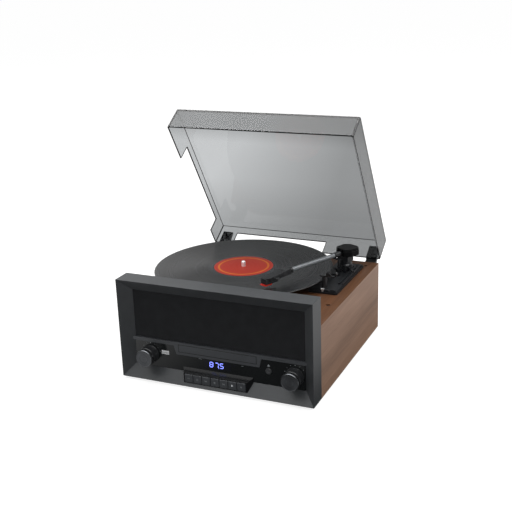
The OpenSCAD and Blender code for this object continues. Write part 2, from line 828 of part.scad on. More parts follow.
// two-pin mains inlet: only the socket, set in the rear panel
module mains_inlet() {
    color([0.06, 0.06, 0.06]) difference() {
        union() {
            translate([inlet_x, rear_y + rear_t, inlet_z]) rotate([90, 0, 0]) linear_extrude(17)
                round_rect(inlet_w, inlet_h, 3);
            translate([inlet_x, rear_y + rear_t + 1.5, inlet_z]) rotate([90, 0, 0]) linear_extrude(1.5)
                round_rect(inlet_w + 8, inlet_h + 6, 3);
        }
        translate([inlet_x, rear_y + rear_t + 2, inlet_z]) rotate([90, 0, 0]) linear_extrude(14) {
            for (s = [-1, 1]) translate([s * 4.3, 0]) circle(4.4);
            square([8.6, 8.8], center = true);
        }
    }
    color([0.7, 0.7, 0.6]) for (s = [-1, 1])
        rod_y(inlet_x + s * 4.3, inlet_z, 1.2, rear_y - 11, rear_y + rear_t - 3);
}

// ---- disc player ----

module disc_chassis() {
    half = chassis_half;
    wall = chassis_wall;
    color([0.24, 0.24, 0.25]) {
        difference() {
            block([-half, chassis_front, chassis_z], [half, chassis_back, chassis_top]);
            block([wall - half, chassis_front - 1, chassis_z + wall],
                [half - wall, chassis_back - wall, chassis_top + 1]);
            // opening in the floor for the laser sled, and a seat for the motor
            block([-rod_x - 5, disc_y + 8, chassis_z - 1], [rod_x + 5, sled_end + 2, chassis_z + wall + 1]);
            translate([0, disc_y, chassis_z - 1]) cylinder(r = 7.8, h = 6);
        }
        // blocks that hold the rods, and the motor of the disc hub with its bearing
        for (s = [-1, 1], y = [disc_y + 6, sled_end + 4])
            block([s * rod_x - 3, y - 2, chassis_z], [s * rod_x + 3, y + 2, rod_z + 2.4]);
        difference() {
            translate([0, disc_y, chassis_z - 8]) cylinder(r = 7.8, h = 8 + chassis_wall);
            translate([0, disc_y, chassis_z - 7]) cylinder(r = hub_shaft_r + run_gap, h = 20);
        }
        // rails under the tray's edges
        for (s = [-1, 1]) block([s * (tray_half - 1.5) - 2.5, chassis_front, chassis_z + wall],
            [s * (tray_half - 1.5) + 2.5, chassis_back - wall, tray_z - part_gap]);
        // guide rods of the laser sled
        for (s = [-1, 1]) rod_y(s * rod_x, rod_z, rod_r, disc_y + 7, sled_end + 3);
        // legs down to the bottom board
        for (x = [-1, 1], y = [chassis_front + 10, chassis_back - 10])
            translate([x * (half - 8), y, board_t]) difference() {
                cylinder(r = 5, h = chassis_z - board_t);
                translate([0, 0, -1]) cylinder(r = 1.4, h = 14);
            }
    }
}

// bridge over the tray, with the puck that holds a disc down on the hub
module disc_clamp() {
    color([0.75, 0.75, 0.77]) {
        difference() {
            block([-chassis_half, disc_y - 9, chassis_top], [chassis_half, disc_y + 9, chassis_top + 1.6]);
            for (s = [-1, 1]) translate([s * (chassis_half - 5), disc_y, 0]) cylinder(r = 1.6, h = 100);
        }
        translate([0, disc_y, tray_z + tray_h + 3]) cylinder(r = 13, h = chassis_top - tray_z - tray_h - 3);
    }
}

// tray with its door; it slides out towards -y
module disc_tray() {
    tray_back = panel_y + tray_l;
    color([0.17, 0.175, 0.18]) difference() {
        union() {
            front_view(bar_y - 0.2, bar_y + 2.4) translate([0, door_z + door_h / 2])
                round_rect(door_w, door_h, 1.2);
            block([-tray_half, bar_y + 2, tray_z], [tray_half, tray_back, tray_z + tray_h]);
        }
        translate([0, disc_y, tray_z + tray_floor]) cylinder(r = disc_recess_r, h = 20);
        block([-30, bar_y + 3, tray_z + tray_h - 1.2], [30, tray_back + 1, tray_z + tray_h + 1]);
        block([-hub_r - 3, disc_y, tray_z - 1], [hub_r + 3, tray_back + 1, tray_z + tray_h + 1]);
        translate([0, disc_y, 0]) cylinder(r = hub_r + 3, h = 100);
    }
}

module laser_sled() {
    color([0.3, 0.3, 0.32]) difference() {
        union() {
            block([-rod_x - 3, sled_front, rod_z - 2.6], [rod_x + 3, sled_front + sled_l, rod_z + 2.4]);
            translate([0, sled_front + sled_l / 2, rod_z]) cylinder(r = 4.5, h = tray_z - rod_z + 1);
        }
        for (s = [-1, 1]) rod_y(s * rod_x, rod_z, rod_r + run_gap, 0, case_d);
        translate([0, sled_front + sled_l / 2, tray_z - 0.6]) cylinder(r = 2.8, h = 5);
    }
    color([0.5, 0.7, 0.9]) translate([0, sled_front + sled_l / 2, tray_z - 0.7]) cylinder(r = 2.8, h = 0.9);
}

module disc_hub() {
    color([0.2, 0.2, 0.2]) translate([0, disc_y, 0]) {
        translate([0, 0, tray_z - 2]) cylinder(r = hub_r, h = tray_floor + 2.4);
        translate([0, 0, tray_z + tray_floor + 0.4]) cylinder(r1 = 7.4, r2 = 6.2, h = 2.2);
        translate([0, 0, chassis_z - 6]) cylinder(r = hub_shaft_r, h = tray_z - chassis_z + 5);
    }
}

// ---- record deck ----

module at_spindle() {
    translate([spindle_x, spindle_y, 0]) children();
}

module platter_bearing() {
    color([0.72, 0.55, 0.3]) at_spindle() difference() {
        union() {
            translate([0, 0, inner_top - 12]) cylinder(r = bearing_r, h = board_t + 12);
            translate([0, 0, case_h]) cylinder(r = 12, h = 1.2);
            translate([0, 0, inner_top - 3]) cylinder(r = 11, h = 3, $fn = 6);
        }
        translate([0, 0, inner_top - 13]) cylinder(r = shaft_low_r + run_gap, h = board_t + 20);
    }
}

module spindle() {
    low = inner_top - 14;
    flange = case_h + 1.5;
    top = record_z + record_t + spindle_up;
    color([0.8, 0.8, 0.82]) at_spindle() rotate_extrude() polygon(concat([[0, low], [shaft_low_r, low],
        [shaft_low_r, flange], [10, flange], [10, platter_z + 1.4], [spindle_r, platter_z + 1.4]],
        [for (a = [0 : 15 : 90]) [spindle_r * cos(a), top - spindle_r + spindle_r * sin(a)]]));
}

module platter() {
    z = platter_z;
    h = platter_h;
    r = platter_r;
    color([0.13, 0.13, 0.14]) at_spindle() rotate_extrude() polygon([
        [spindle_r + 0.02, z + 1.4], [12, z + 1.4], [14, z + h - 3], [drive_ring_r - 4, z + h - 3],
        [drive_ring_r - 3, z + 1], [drive_ring_r, z + 1], [drive_ring_r, z + h - 3], [r - 5, z + h - 3],
        [r - 4, z], [r - 0.8, z], [r, z + 0.8], [r, z + h + 0.6], [r - 0.6, z + h + 1.2],
        [r - 1.4, z + h + 1.2], [r - 1.8, z + h], [spindle_r + 0.02, z + h]]);
}

module slip_mat() {
    color([0.09, 0.09, 0.09]) at_spindle() translate([0, 0, mat_z]) difference() {
        cylinder(r = platter_r - 2.2, h = mat_t);
        cylinder(r = spindle_r + 0.05, h = 20, center = true);
    }
}

// record: thick at its label and rim bead, thinner where its grooves are
module record() {
    z = record_z;
    t = record_t;
    r = record_r;
    color([0.07, 0.07, 0.075]) at_spindle() rotate_extrude($fn = 128) polygon([
        [spindle_r + 0.05, z], [label_r + 2, z], [label_r + 4, z + 0.15], [r - 5, z + 0.15], [r - 3.5, z],
        [r - 0.6, z], [r, z + 0.5], [r, z + t - 0.5], [r - 0.6, z + t], [r - 3.5, z + t],
        [r - 5, z + t - 0.15], [label_r + 4, z + t - 0.15], [label_r + 2, z + t],
        [label_r, z + t], [label_r - 0.2, z + t + 0.1], [spindle_r + 0.05, z + t + 0.1]]);
}

module at_pulley() {
    translate([pulley_x, pulley_y, 0]) children();
}

module belt_loop(big, small) {
    hull() {
        at_spindle() circle(big, $fn = 72);
        at_pulley() circle(small, $fn = 32);
    }
}

module drive_belt() {
    color([0.05, 0.05, 0.05]) translate([0, 0, belt_z]) linear_extrude(belt_w) difference() {
        belt_loop(drive_ring_r + belt_gap + belt_t, pulley_r + belt_gap + belt_t);
        belt_loop(drive_ring_r + belt_gap, pulley_r + belt_gap);
    }
}

module platter_motor() {
    color([0.6, 0.6, 0.62]) at_pulley() difference() {
        union() {
            translate([0, 0, inner_top - 27]) cylinder(r = motor_r, h = 22);
            translate([0, 0, inner_top - 6.5]) linear_extrude(1.5) round_rect(52, 26, 6);
            for (s = [-1, 1]) translate([s * 21, 0, inner_top - 5]) cylinder(r = 3.5, h = 5);
            translate([0, 0, inner_top - 6]) cylinder(r = 3.5, h = 12);
        }
        translate([0, 0, inner_top - 24]) cylinder(r = motor_shaft_r + run_gap, h = 50);
    }
}

module motor_pulley() {
    z = belt_z - 1.4;
    color([0.78, 0.62, 0.32]) at_pulley() {
        rotate_extrude() polygon([[0, z], [pulley_r + 1, z], [pulley_r + 1, z + 0.9], [pulley_r, z + 1.4],
            [pulley_r, z + 1.4 + belt_w], [0, z + 1.4 + belt_w]]);
        translate([0, 0, inner_top - 22]) cylinder(r = motor_shaft_r, h = z - inner_top + 22.5);
    }
}

// ---- tonearm ----

// base plate with its ribs, pillar seat, switch slot and guide for the lift
module tonearm_base() {
    x0 = base_right - base_w;
    x1 = base_right;
    y0 = base_front;
    y1 = y0 + base_l;
    color([0.1, 0.1, 0.105]) difference() {
        union() {
            // stepped plate
            translate([(x0 + x1) / 2, (y0 + y1) / 2, base_z]) {
                linear_extrude(base_t - 1.6) round_rect(base_w, base_l, 4);
                linear_extrude(base_t) round_rect(base_w - 3, base_l - 3, 3);
            }
            // long ribs at the right edge
            for (x = [x1 - 3.2, x1 - 9.4]) translate([x, (y0 + y1) / 2 + 14, base_z])
                linear_extrude(base_t + 2.2) slot(3, base_l - 46);
            // front rib and the ring round the pillar
            translate([x1 - 8, y0 + 4.4, base_z]) linear_extrude(base_t + 2) slot(10, 3.4);
            translate([pivot_x, pivot_y, base_z]) cylinder(r = 19, h = base_t + 2);
            translate([pivot_x, pivot_y, case_h - board_t]) cylinder(r = 7.8, h = board_t + 1);
            // guide tube of the lift
            lift_stem_place() translate([0, 0, -board_t])
                cylinder(r = stem_r + 2.2, h = board_t + base_t + 6);
            // post of the cue lever
            translate([lever_x, lever_y, base_z]) rotate([0, 0, lever_dir]) {
                for (s = [-1, 1]) translate([0, s * 4.6, 0]) {
                    block([-3.4, -1.1, 0], [3.4, 1.1, lever_z - base_z]);
                    translate([0, 1.1, lever_z - base_z]) rotate([90, 0, 0]) cylinder(r = 3.4, h = 2.2);
                }
            }
        }
        // well between the arm rest and the pillar
        translate([pivot_x - 5, pivot_y - 62, base_z + 3.2]) linear_extrude(20) round_rect(18, 46, 3);
        translate([pivot_x, pivot_y, 0]) cylinder(r = 5 + run_gap, h = 200);
        translate([pivot_x, pivot_y, base_top - 0.4]) cylinder(r = 14.6, h = 10);
        lift_stem_place() cylinder(r = stem_r + run_gap, h = 60, center = true);
        translate([lever_x, lever_y, lever_z]) rotate([0, 0, lever_dir]) rotate([90, 0, 0])
            cylinder(r = 1.5 + run_gap, h = 30, center = true);
        // slot of the speed switch
        translate([speed_x + speed_travel / 2, speed_y, base_z + 2]) linear_extrude(20)
            round_rect(speed_travel + 3.4, 3.2, 1.2);
    }
}

// post with a low cradle for the parked tube and a hinge for the clip
module arm_rest() {
    floor_t = 2.2;
    color([0.09, 0.09, 0.095]) {
        translate([rest_x, rest_y, base_top])
            cylinder(r = rest_post_r, h = cradle_z - base_top - floor_t + eps);
        translate([rest_x, rest_y, base_top]) cylinder(r1 = rest_post_r + 1.2, r2 = rest_post_r, h = 3);
        difference() {
            block([pivot_x - 6, rest_y - 4, cradle_z - floor_t], [clip_x + 2.3, rest_y + 4, arm_z]);
            block([pivot_x - 7, rest_y - 5, cradle_z], [pivot_x + tube_r + 1, rest_y + 5, arm_z + 1]);
            block([pivot_x + tube_r + 0.8, rest_y - 2.2, cradle_z], [clip_x + 3, rest_y + 2.2, arm_z + 1]);
            rod_y(clip_x, clip_z, 2.9, rest_y - 2.2, rest_y + 2.2);
            rod_y(clip_x, clip_z, 1 + run_gap, rest_y - 9, rest_y + 9);
        }
    }
}

// swinging clip, drawn closed over the parked tube and then opened
module arm_clip() {
    inner = tube_r + 0.9;
    outer = inner + 1.8;
    color([0.12, 0.12, 0.125]) translate([clip_x, rest_y, clip_z]) rotate([0, clip_angle, 0])
        translate([-clip_x, -rest_y, -clip_z]) {
            difference() {
                rod_y(pivot_x, arm_z, outer, rest_y - 1.9, rest_y + 1.9);
                rod_y(pivot_x, arm_z, inner, rest_y - 3, rest_y + 3);
                block([pivot_x - 20, rest_y - 3, arm_z - 20], [pivot_x + 20, rest_y + 3, arm_z + 0.4]);
            }
            rod_y(clip_x, clip_z, 2.5, rest_y - 1.9, rest_y + 1.9);
            block([pivot_x + inner, rest_y - 1.9, clip_z],
                [pivot_x + outer, rest_y + 1.9, arm_z + 0.5]);
            block([pivot_x + inner, rest_y - 1.9, clip_z], [clip_x, rest_y + 1.9, clip_z + 1.6]);
            rod_y(clip_x, clip_z, 1, rest_y - 3.8, rest_y + 3.8);
        }
}

// turning pillar with the yoke that carries the tube on a cross pin
module tonearm_gimbal() {
    ear = yoke_gap + ear_t;
    foot_z = base_top + 0.3 - arm_z;
    color([0.1, 0.1, 0.105]) arm_frame() {
        translate([0, 0, foot_z - base_t - 8]) cylinder(r = 5, h = base_t + 9);
        translate([0, 0, foot_z]) rotate_extrude() polygon([[0, 0], [14, 0], [14, 3], [11.5, 8], [11.5, 14.5],
            [0, 14.5]]);
        // yoke
        block([-7, -ear, foot_z + 14], [7, ear, -6.2]);
        for (s = [-1, 1]) translate([0, s * (yoke_gap + ear_t / 2), 0]) {
            block([-5, -ear_t / 2, -7], [5, ear_t / 2, 0]);
            translate([0, ear_t / 2, 0]) rotate([90, 0, 0]) cylinder(r = 5, h = ear_t);
        }
        rotate([90, 0, 0]) cylinder(r = pin_r, h = 2 * ear + 1.6, center = true);
        for (s = [-1, 1]) translate([0, s * ear, 0]) rotate([90, 0, 0])
            cylinder(r = 3, h = 1.6, center = true);
    }
}

module tonearm_tube() {
    color([0.72, 0.73, 0.75]) arm_frame() difference() {
        union() {
            rotate([0, 90, 0]) translate([0, 0, 6]) cylinder(r = tube_r, h = shell_start - 4);
            rotate([0, 90, 0]) translate([0, 0, -22]) cylinder(r = 3.2, h = 17);
            rotate([0, 90, 0]) translate([0, 0, 6]) cylinder(r = sleeve_r, h = sleeve_end - 6);
            block([-6.5, -yoke_gap + 0.4, -4.6], [8, yoke_gap - 0.4, 5]);
            // collar that holds the headshell
            rotate([0, 90, 0]) translate([0, 0, shell_start - 4]) cylinder(r = tube_r + 1.4, h = 4);
        }
        rotate([90, 0, 0]) cylinder(r = pin_r + run_gap, h = 60, center = true);
    }
}

// tapered headshell, open underneath, with a finger lift on its outer side
module headshell() {
    w = shell_w / 2;
    a = shell_start;
    b = shell_end;
    color([0.08, 0.08, 0.085]) arm_frame() {
        difference() {
            intersection() {
                translate([0, 0, -8]) linear_extrude(14) polygon([[a, -4.6], [a + 10, -5.6], [a + 20, -w],
                    [b - 9, -w], [b, -w + 4.5], [b, w - 4.5], [b - 9, w], [a + 20, w], [a + 10, 5.6],
                    [a, 4.6]]);
                rotate([90, 0, 0]) linear_extrude(2 * shell_w, center = true) polygon([[a, -4.6],
                    [a + 12, -4.6], [a + 20, -3.4], [b - 8, -4.6], [b, -1], [b, 0.6], [b - 16, 2.2],
                    [a + 16, 4.6], [a, 4.6]]);
            }
            translate([a - 1, 0, 0]) rotate([0, 90, 0]) cylinder(r = tube_r + 0.02, h = 4);
            block([a + 24, 1.6 - w, -9], [b + 1, w - 1.6, -1]);
        }
        block([b - 22, w - 1, -0.6], [b - 15, w + 9, 0.6]);
        translate([a + 16, 0, 3.6]) cylinder(r = 2.2, h = 1.6);
    }
}

module cartridge() {
    color([0.14, 0.14, 0.15]) arm_frame() difference() {
        union() {
            block([arm_l - 24, -6.4, -8.6], [arm_l + 1.2, 6.4, -1]);
            block([arm_l - 24, -4.4, -9.6], [arm_l - 14.2, 4.4, -8.5]);
        }
        for (s = [-1, 1]) translate([arm_l - 19, s * 3.4, -9.8]) cylinder(r = 0.9, h = 4);
    }
}

// red stylus carrier, with its cantilever and tip
module stylus() {
    tip = -(arm_rise - record_lift - stylus_gap);
    color([0.85, 0.16, 0.1]) arm_frame() {
        rotate([90, 0, 0]) linear_extrude(9.6, center = true) polygon([[arm_l - 13.8, -8.7],
            [arm_l - 11, -11.5], [arm_l + 0.8, -11.5], [arm_l + 5, -9.7], [arm_l + 5, -8.7]]);
        translate([arm_l, 0, tip]) cylinder(r1 = 0.15, r2 = 0.7, h = -11.2 - tip);
    }
}

// octagonal counterweight, reaching forward over the yoke and open below for the tube
module counterweight() {
    w = 18.5;
    cut = 10;
    front = 13;
    module outline(inset) {
        translate([front - w, 0]) polygon([[inset - w, w - cut], [cut - w, w - inset], [w - cut, w - inset],
            [w - inset, w - cut], [w - inset, cut - w], [w - cut, inset - w], [cut - w, inset - w],
            [inset - w, cut - w]]);
    }
    color([0.07, 0.07, 0.075]) arm_frame() difference() {
        union() {
            translate([0, 0, -4.5]) linear_extrude(8.7) outline(0);
            translate([0, 0, 4]) linear_extrude(2.2) outline(1);
            translate([0, 0, 6]) linear_extrude(1.4) outline(2.6);
        }
        block([-9, -13.4, -6], [6.6, 13.4, 5.4]);
        block([-9, -8.6, -6], [8.6, 8.6, 5.4]);
        block([8, -5.2, -6], [front + 1, 5.2, 5.4]);
        rotate([0, -90, 0]) cylinder(r = 3.22, h = 22.2);
    }
}

module cue_lever() {
    color([0.1, 0.1, 0.105]) translate([lever_x, lever_y, lever_z]) rotate([0, 0, lever_dir]) {
        rotate([90, 0, 0]) cylinder(r = 3.2, h = 6.4, center = true);
        rotate([90, 0, 0]) cylinder(r = 1.5, h = 13.4, center = true);
        rotate([0, 14, 0]) {
            block([0, -1.2, -1.1], [16, 1.2, 1.1]);
            translate([15, 0, 0]) rotate([0, 90, 0]) cylinder(r = 1.7, h = 5);
        }
    }
}

// curved lift under the tube's sleeve, on a stem that slides in the base
module cue_platform() {
    top = -sleeve_r - lift_gap;
    sweep_low = spindle_dir + 14 - arm_dir;
    sweep_high = park_dir + 4 - arm_dir;
    color([0.12, 0.12, 0.125]) arm_frame() {
        translate([0, 0, top - lift_t]) linear_extrude(lift_t) intersection() {
            difference() {
                circle(lift_r + 1.8, $fn = 96);
                circle(lift_r - 1.8, $fn = 96);
            }
            polygon(concat([[0, 0]], [for (i = [0 : 4]) let (a = sweep_low + (sweep_high - sweep_low) * i / 4)
                2 * lift_r * [cos(a), sin(a)]]));
        }
        rotate([0, 0, stem_dir - arm_dir]) translate([lift_r, 0, case_h - arm_z - 6])
            cylinder(r = stem_r, h = arm_z - case_h + 6 + top - 1);
    }
}

module speed_switch() {
    color([0.75, 0.76, 0.78]) translate([speed_x, speed_y, 0]) {
        translate([0, 0, base_top + 0.4]) linear_extrude(3) round_rect(5.4, 3.6, 1);
        translate([0, 0, base_z + 2.3]) linear_extrude(base_t - 1.5) round_rect(3, 2.4, 0.8);
    }
}

// ---- dust cover ----

module lid_outline(inset) {
    translate([0, (lid_front + lid_back) / 2]) round_rect(2 * (lid_half - inset),
        lid_back - lid_front - 2 * inset, lid_round - inset / 3);
}

module dust_cover() {
    chord = sqrt(record_r ^ 2 - (lid_half + spindle_x) ^ 2);
    back_chord = sqrt(record_r ^ 2 - (lid_back - spindle_y) ^ 2);
    color([0.3, 0.31, 0.32, 0.5]) opened() difference() {
        translate([0, 0, lid_rim]) linear_extrude(lid_top - lid_rim) lid_outline(0);
        translate([0, 0, lid_rim - 1]) linear_extrude(lid_top - lid_t - lid_rim + 1) lid_outline(lid_t);
        // notch in the left wall, where the record reaches out
        block([-lid_half - 1, spindle_y - chord - 7, lid_rim - 1],
            [lid_t + 2 - lid_half, spindle_y + chord + 23, record_z + record_t + 11]);
        // notch in the back wall
        block([spindle_x - back_chord - 26, lid_back - lid_t - 2, lid_rim - 1],
            [spindle_x + back_chord + 21, lid_back + 1, record_z + record_t + 8.5]);
    }
}

// the two arms that clamp the cover's back wall
module hinge_arms() {
    low = hinge_z + 7;
    color([0.08, 0.08, 0.085]) opened() for (side = [-1, 1]) translate([side * hinge_x, 0, 0]) {
        half = hinge_w / 2 - 1;
        neck = hinge_w / 2 - 3.4;
        difference() {
            union() {
                along_x(half, [[lid_back, lid_rim + 2], [lid_back, lid_top - 15],
                    [lid_back + 4, lid_top - 15],
                    [hinge_y + 1, low + 6], [hinge_y + 1, low + 1], [lid_back + 3.2, low + 1],
                    [lid_back + 3.2, lid_rim]]);
                along_x(neck, [[lid_back + 3.4, low + 3], [hinge_y + 4, low + 3],
                    [hinge_y + knuckle_r, hinge_z], [hinge_y - knuckle_r + 0.3, hinge_z]]);
                translate([-neck, hinge_y, hinge_z]) rotate([0, 90, 0]) cylinder(r = knuckle_r, h = 2 * neck);
            }
            translate([-20, hinge_y, hinge_z]) rotate([0, 90, 0]) cylinder(r = hinge_pin_r + run_gap, h = 40);
        }
    }
}

// brackets on the back edges of the boards, with the hinge pins
module hinge_brackets() {
    color([0.1, 0.1, 0.1]) for (side = [-1, 1]) translate([side * hinge_x, 0, 0]) {
        half = hinge_w / 2;
        block([-half, case_d, case_h - 28], [half, case_d + 2.4, case_h - 2]);
        for (s = [-1, 1]) translate([s * (half - 1.5), 0, 0]) {
            translate([-1.5, hinge_y, hinge_z]) rotate([0, 90, 0]) cylinder(r = 5, h = 3);
            block([-1.5, case_d + 1, hinge_z - 5], [1.5, hinge_y, hinge_z + 5]);
        }
        translate([-half - 0.8, hinge_y, hinge_z]) rotate([0, 90, 0])
            cylinder(r = hinge_pin_r, h = 2 * half + 1.6);
    }
}

placed() top_board();
placed() side_board_left();
placed() side_board_right();
placed() bottom_board();
placed() rear_panel();
placed() rubber_feet();
placed() case_screws();
placed() front_frame();
placed() speaker_baffle();
placed() speaker_grille();
placed() speaker_frames();
placed() speaker_cones();
placed() control_panel();
placed() display_lens();
placed() front_circuit_board();
placed() rotary_encoders();
placed() usb_socket();
placed() key_housing();
placed() main_circuit_board();
placed() mains_transformer();
placed() rear_sockets();
placed() mains_inlet();
placed() disc_chassis();
placed() disc_clamp();
placed() disc_tray();
placed() laser_sled();
placed() disc_hub();
placed() platter_bearing();
placed() spindle();
placed() platter();
placed() slip_mat();
placed() record();
placed() drive_belt();
placed() platter_motor();
placed() motor_pulley();
placed() tonearm_base();
placed() arm_rest();
placed() arm_clip();
placed() tonearm_gimbal();
placed() tonearm_tube();
placed() headshell();
placed() cartridge();
placed() stylus();
placed() counterweight();
placed() cue_lever();
placed() cue_platform();
placed() speed_switch();
placed() dust_cover();
placed() hinge_arms();
placed() hinge_brackets();
placed() knob_left();
placed() knob_right();
placed() eject_button();
placed() key(1);  // key_1
placed() key(2);  // key_2
placed() key(3);  // key_3
placed() key(4);  // key_4
placed() key(5);  // key_5
placed() key(6);  // key_6
placed() key(7);  // key_7
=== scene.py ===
"""Looks of a stereo music centre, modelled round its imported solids."""

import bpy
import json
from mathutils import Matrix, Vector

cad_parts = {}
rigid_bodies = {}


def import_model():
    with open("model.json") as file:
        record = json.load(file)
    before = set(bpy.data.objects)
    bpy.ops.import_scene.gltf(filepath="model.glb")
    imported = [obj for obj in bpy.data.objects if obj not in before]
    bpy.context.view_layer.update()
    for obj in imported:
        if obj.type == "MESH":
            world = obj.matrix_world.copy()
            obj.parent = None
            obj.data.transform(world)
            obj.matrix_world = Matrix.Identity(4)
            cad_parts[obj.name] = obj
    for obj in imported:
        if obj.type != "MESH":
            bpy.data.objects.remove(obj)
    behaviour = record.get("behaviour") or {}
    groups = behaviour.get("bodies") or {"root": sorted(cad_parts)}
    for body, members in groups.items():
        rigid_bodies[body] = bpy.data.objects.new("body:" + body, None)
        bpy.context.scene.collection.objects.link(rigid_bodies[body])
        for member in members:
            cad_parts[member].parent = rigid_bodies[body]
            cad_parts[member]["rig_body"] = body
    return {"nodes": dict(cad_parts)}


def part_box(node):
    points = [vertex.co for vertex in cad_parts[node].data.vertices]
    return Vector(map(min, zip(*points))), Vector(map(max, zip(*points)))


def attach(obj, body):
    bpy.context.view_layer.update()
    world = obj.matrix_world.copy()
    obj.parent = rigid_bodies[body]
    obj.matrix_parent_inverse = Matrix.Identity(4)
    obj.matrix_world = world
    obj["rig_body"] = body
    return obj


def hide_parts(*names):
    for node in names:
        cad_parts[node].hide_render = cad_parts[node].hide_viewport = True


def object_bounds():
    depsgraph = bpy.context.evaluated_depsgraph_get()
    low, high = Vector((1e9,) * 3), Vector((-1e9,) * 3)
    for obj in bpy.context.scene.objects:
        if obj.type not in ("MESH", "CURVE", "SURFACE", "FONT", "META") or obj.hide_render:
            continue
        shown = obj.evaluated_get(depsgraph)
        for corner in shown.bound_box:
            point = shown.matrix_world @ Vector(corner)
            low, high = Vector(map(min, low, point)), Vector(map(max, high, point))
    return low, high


bl_info = {
    "name": "Stereo Music Centre",
    "version": (1, 0, 0),
    "blender": (4, 5, 0),
    "location": "View3D > Sidebar > Music Centre",
    "description": "Wood case, front panel, record deck, tonearm and smoked cover of a music centre",
    "category": "Add Mesh",
}

import json
import math

import bpy
from mathutils import Matrix, Vector

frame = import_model()
CAD_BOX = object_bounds()
NODES = frame["nodes"]

MM = 0.001
FRONT_LOW, FRONT_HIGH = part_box("front_frame")
FRONT_X = (FRONT_LOW.x + FRONT_HIGH.x) / 2
RECORD_LOW, RECORD_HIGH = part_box("record")
RECORD_CENTRE = (RECORD_LOW + RECORD_HIGH) / 2
RECORD_R = (RECORD_HIGH.x - RECORD_LOW.x) / 2

# the cover when shut, in millimetres from the front face and the underside, and its open angle
HINGE_BACK, HINGE_UP, LID_OPEN = 338.5, 105.8, 58
LID_HALF, LID_FRONT, LID_BACK, LID_TOP, LID_WALL = 162.25, 35.6, 330, 163, 2.6

# the tonearm's pivot and direction, and the ends of the bright part of its tube in millimetres from it
PIVOT_PLACE, ARM_DEGREES, BRIGHT_FROM, BRIGHT_TO = (120, 277, 152), 245.197, 27.6, 126.5


def at(x, y, z):
    """Millimetres right of the middle, behind the front face and above the underside, as a place."""
    return Vector((FRONT_X + x * MM, FRONT_LOW.y + y * MM, FRONT_LOW.z + z * MM))


def middle(node):
    low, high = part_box(node)
    return (low + high) / 2


def tone(code):
    """A screen colour such as 3a3c3e as linear red, green, blue and alpha."""
    parts = [int(code[i:i + 2], 16) / 255 for i in (0, 2, 4)]
    return tuple(p / 12.92 if p <= 0.04045 else ((p + 0.055) / 1.055) ** 2.4 for p in parts) + (1.0,)


# ---------------------------------------------------------------- settings


def colour_prop(label, about, code):
    return bpy.props.FloatVectorProperty(name=label, description=about, subtype="COLOR", size=4,
                                         min=0, max=1, default=tone(code))


def length_prop(label, about, millimetres):
    return bpy.props.FloatProperty(name=label, description=about, default=millimetres * MM,
                                   min=0, unit="LENGTH")


class CaseSettings(bpy.types.PropertyGroup):
    side_wood: colour_prop("Side veneer", "Mean colour of the side boards", "8e705d")
    top_wood: colour_prop("Top veneer", "Mean colour of the top board", "5a3a24")
    edge: length_prop("Board edge", "Rounding along the edges of the boards", 0.5)
    frame_grey: colour_prop("Front moulding", "Colour of the bevelled front frame", "393b3d")
    trim_grey: colour_prop("Crossbar", "Colour of the crossbar and the trim round the tray", "404245")
    cloth: colour_prop("Grille cloth", "Colour of the speaker cloth", "1b1c1e")
    frame_edge: length_prop("Moulding edge", "Rounding along the edges of the front frame", 0.5)


class ControlSettings(bpy.types.PropertyGroup):
    panel_black: colour_prop("Panel", "Colour of the glossy control panel", "17191a")
    key_black: colour_prop("Keys", "Colour of the keys", "3f4144")
    mark_grey: colour_prop("Marks", "Colour of the printed marks", "8b8f92")
    digit_blue: colour_prop("Digits", "Colour of the lit digits", "7f8cff")
    digit_power: bpy.props.FloatProperty(name="Digit light", description="Strength of the lit digits",
                                         default=2.2, min=0)
    knob_black: colour_prop("Knobs", "Colour of the turned knobs", "4b4d50")


class DeckSettings(bpy.types.PropertyGroup):
    vinyl: colour_prop("Vinyl", "Colour of the record", "101113")
    label_red: colour_prop("Label", "Colour of the record's label", "bb3728")
    label_ring: colour_prop("Label ring", "Colour of the ring on the label", "d9742b")
    label_r: length_prop("Label radius", "Radius of the record's label", 50)
    deck_black: colour_prop("Deck plastic", "Colour of the tonearm's base and its pieces", "1f2022")
    arm_silver: colour_prop("Arm tube", "Colour of the tonearm's tube", "7a7d80")
    stylus_red: colour_prop("Stylus carrier", "Colour of the stylus carrier", "f02c1c")


class CoverSettings(bpy.types.PropertyGroup):
    smoke: colour_prop("Smoked acrylic", "Colour that the cover gives to what is behind it", "9a9c9d")
    rim: colour_prop("Cover edge", "Colour of the cover's cut edges", "0e0f10")
    edge: length_prop("Cover edge rounding", "Rounding along the cover's edges", 0.8)


class StageSettings(bpy.types.PropertyGroup):
    floor_size: bpy.props.FloatProperty(name="Floor size", description="Side of the pale floor",
                                        default=40, min=1, unit="LENGTH")
    ambient: bpy.props.FloatProperty(name="Ambient light", description="Strength of the light from around",
                                     default=0.42, min=0)


# ---------------------------------------------------------------- edit helpers


def deselect():
    if bpy.context.object and bpy.context.object.mode != "OBJECT":
        bpy.ops.object.mode_set(mode="OBJECT")
    bpy.ops.object.select_all(action="DESELECT")


def choose(piece):
    deselect()
    piece.select_set(True)
    bpy.context.view_layer.objects.active = piece


def apply_modifier(piece, kind, **values):
    choose(piece)
    modifier = piece.modifiers.new(kind.title(), kind)
    for key, value in values.items():
        setattr(modifier, key, value)
    bpy.ops.object.modifier_apply(modifier=modifier.name)


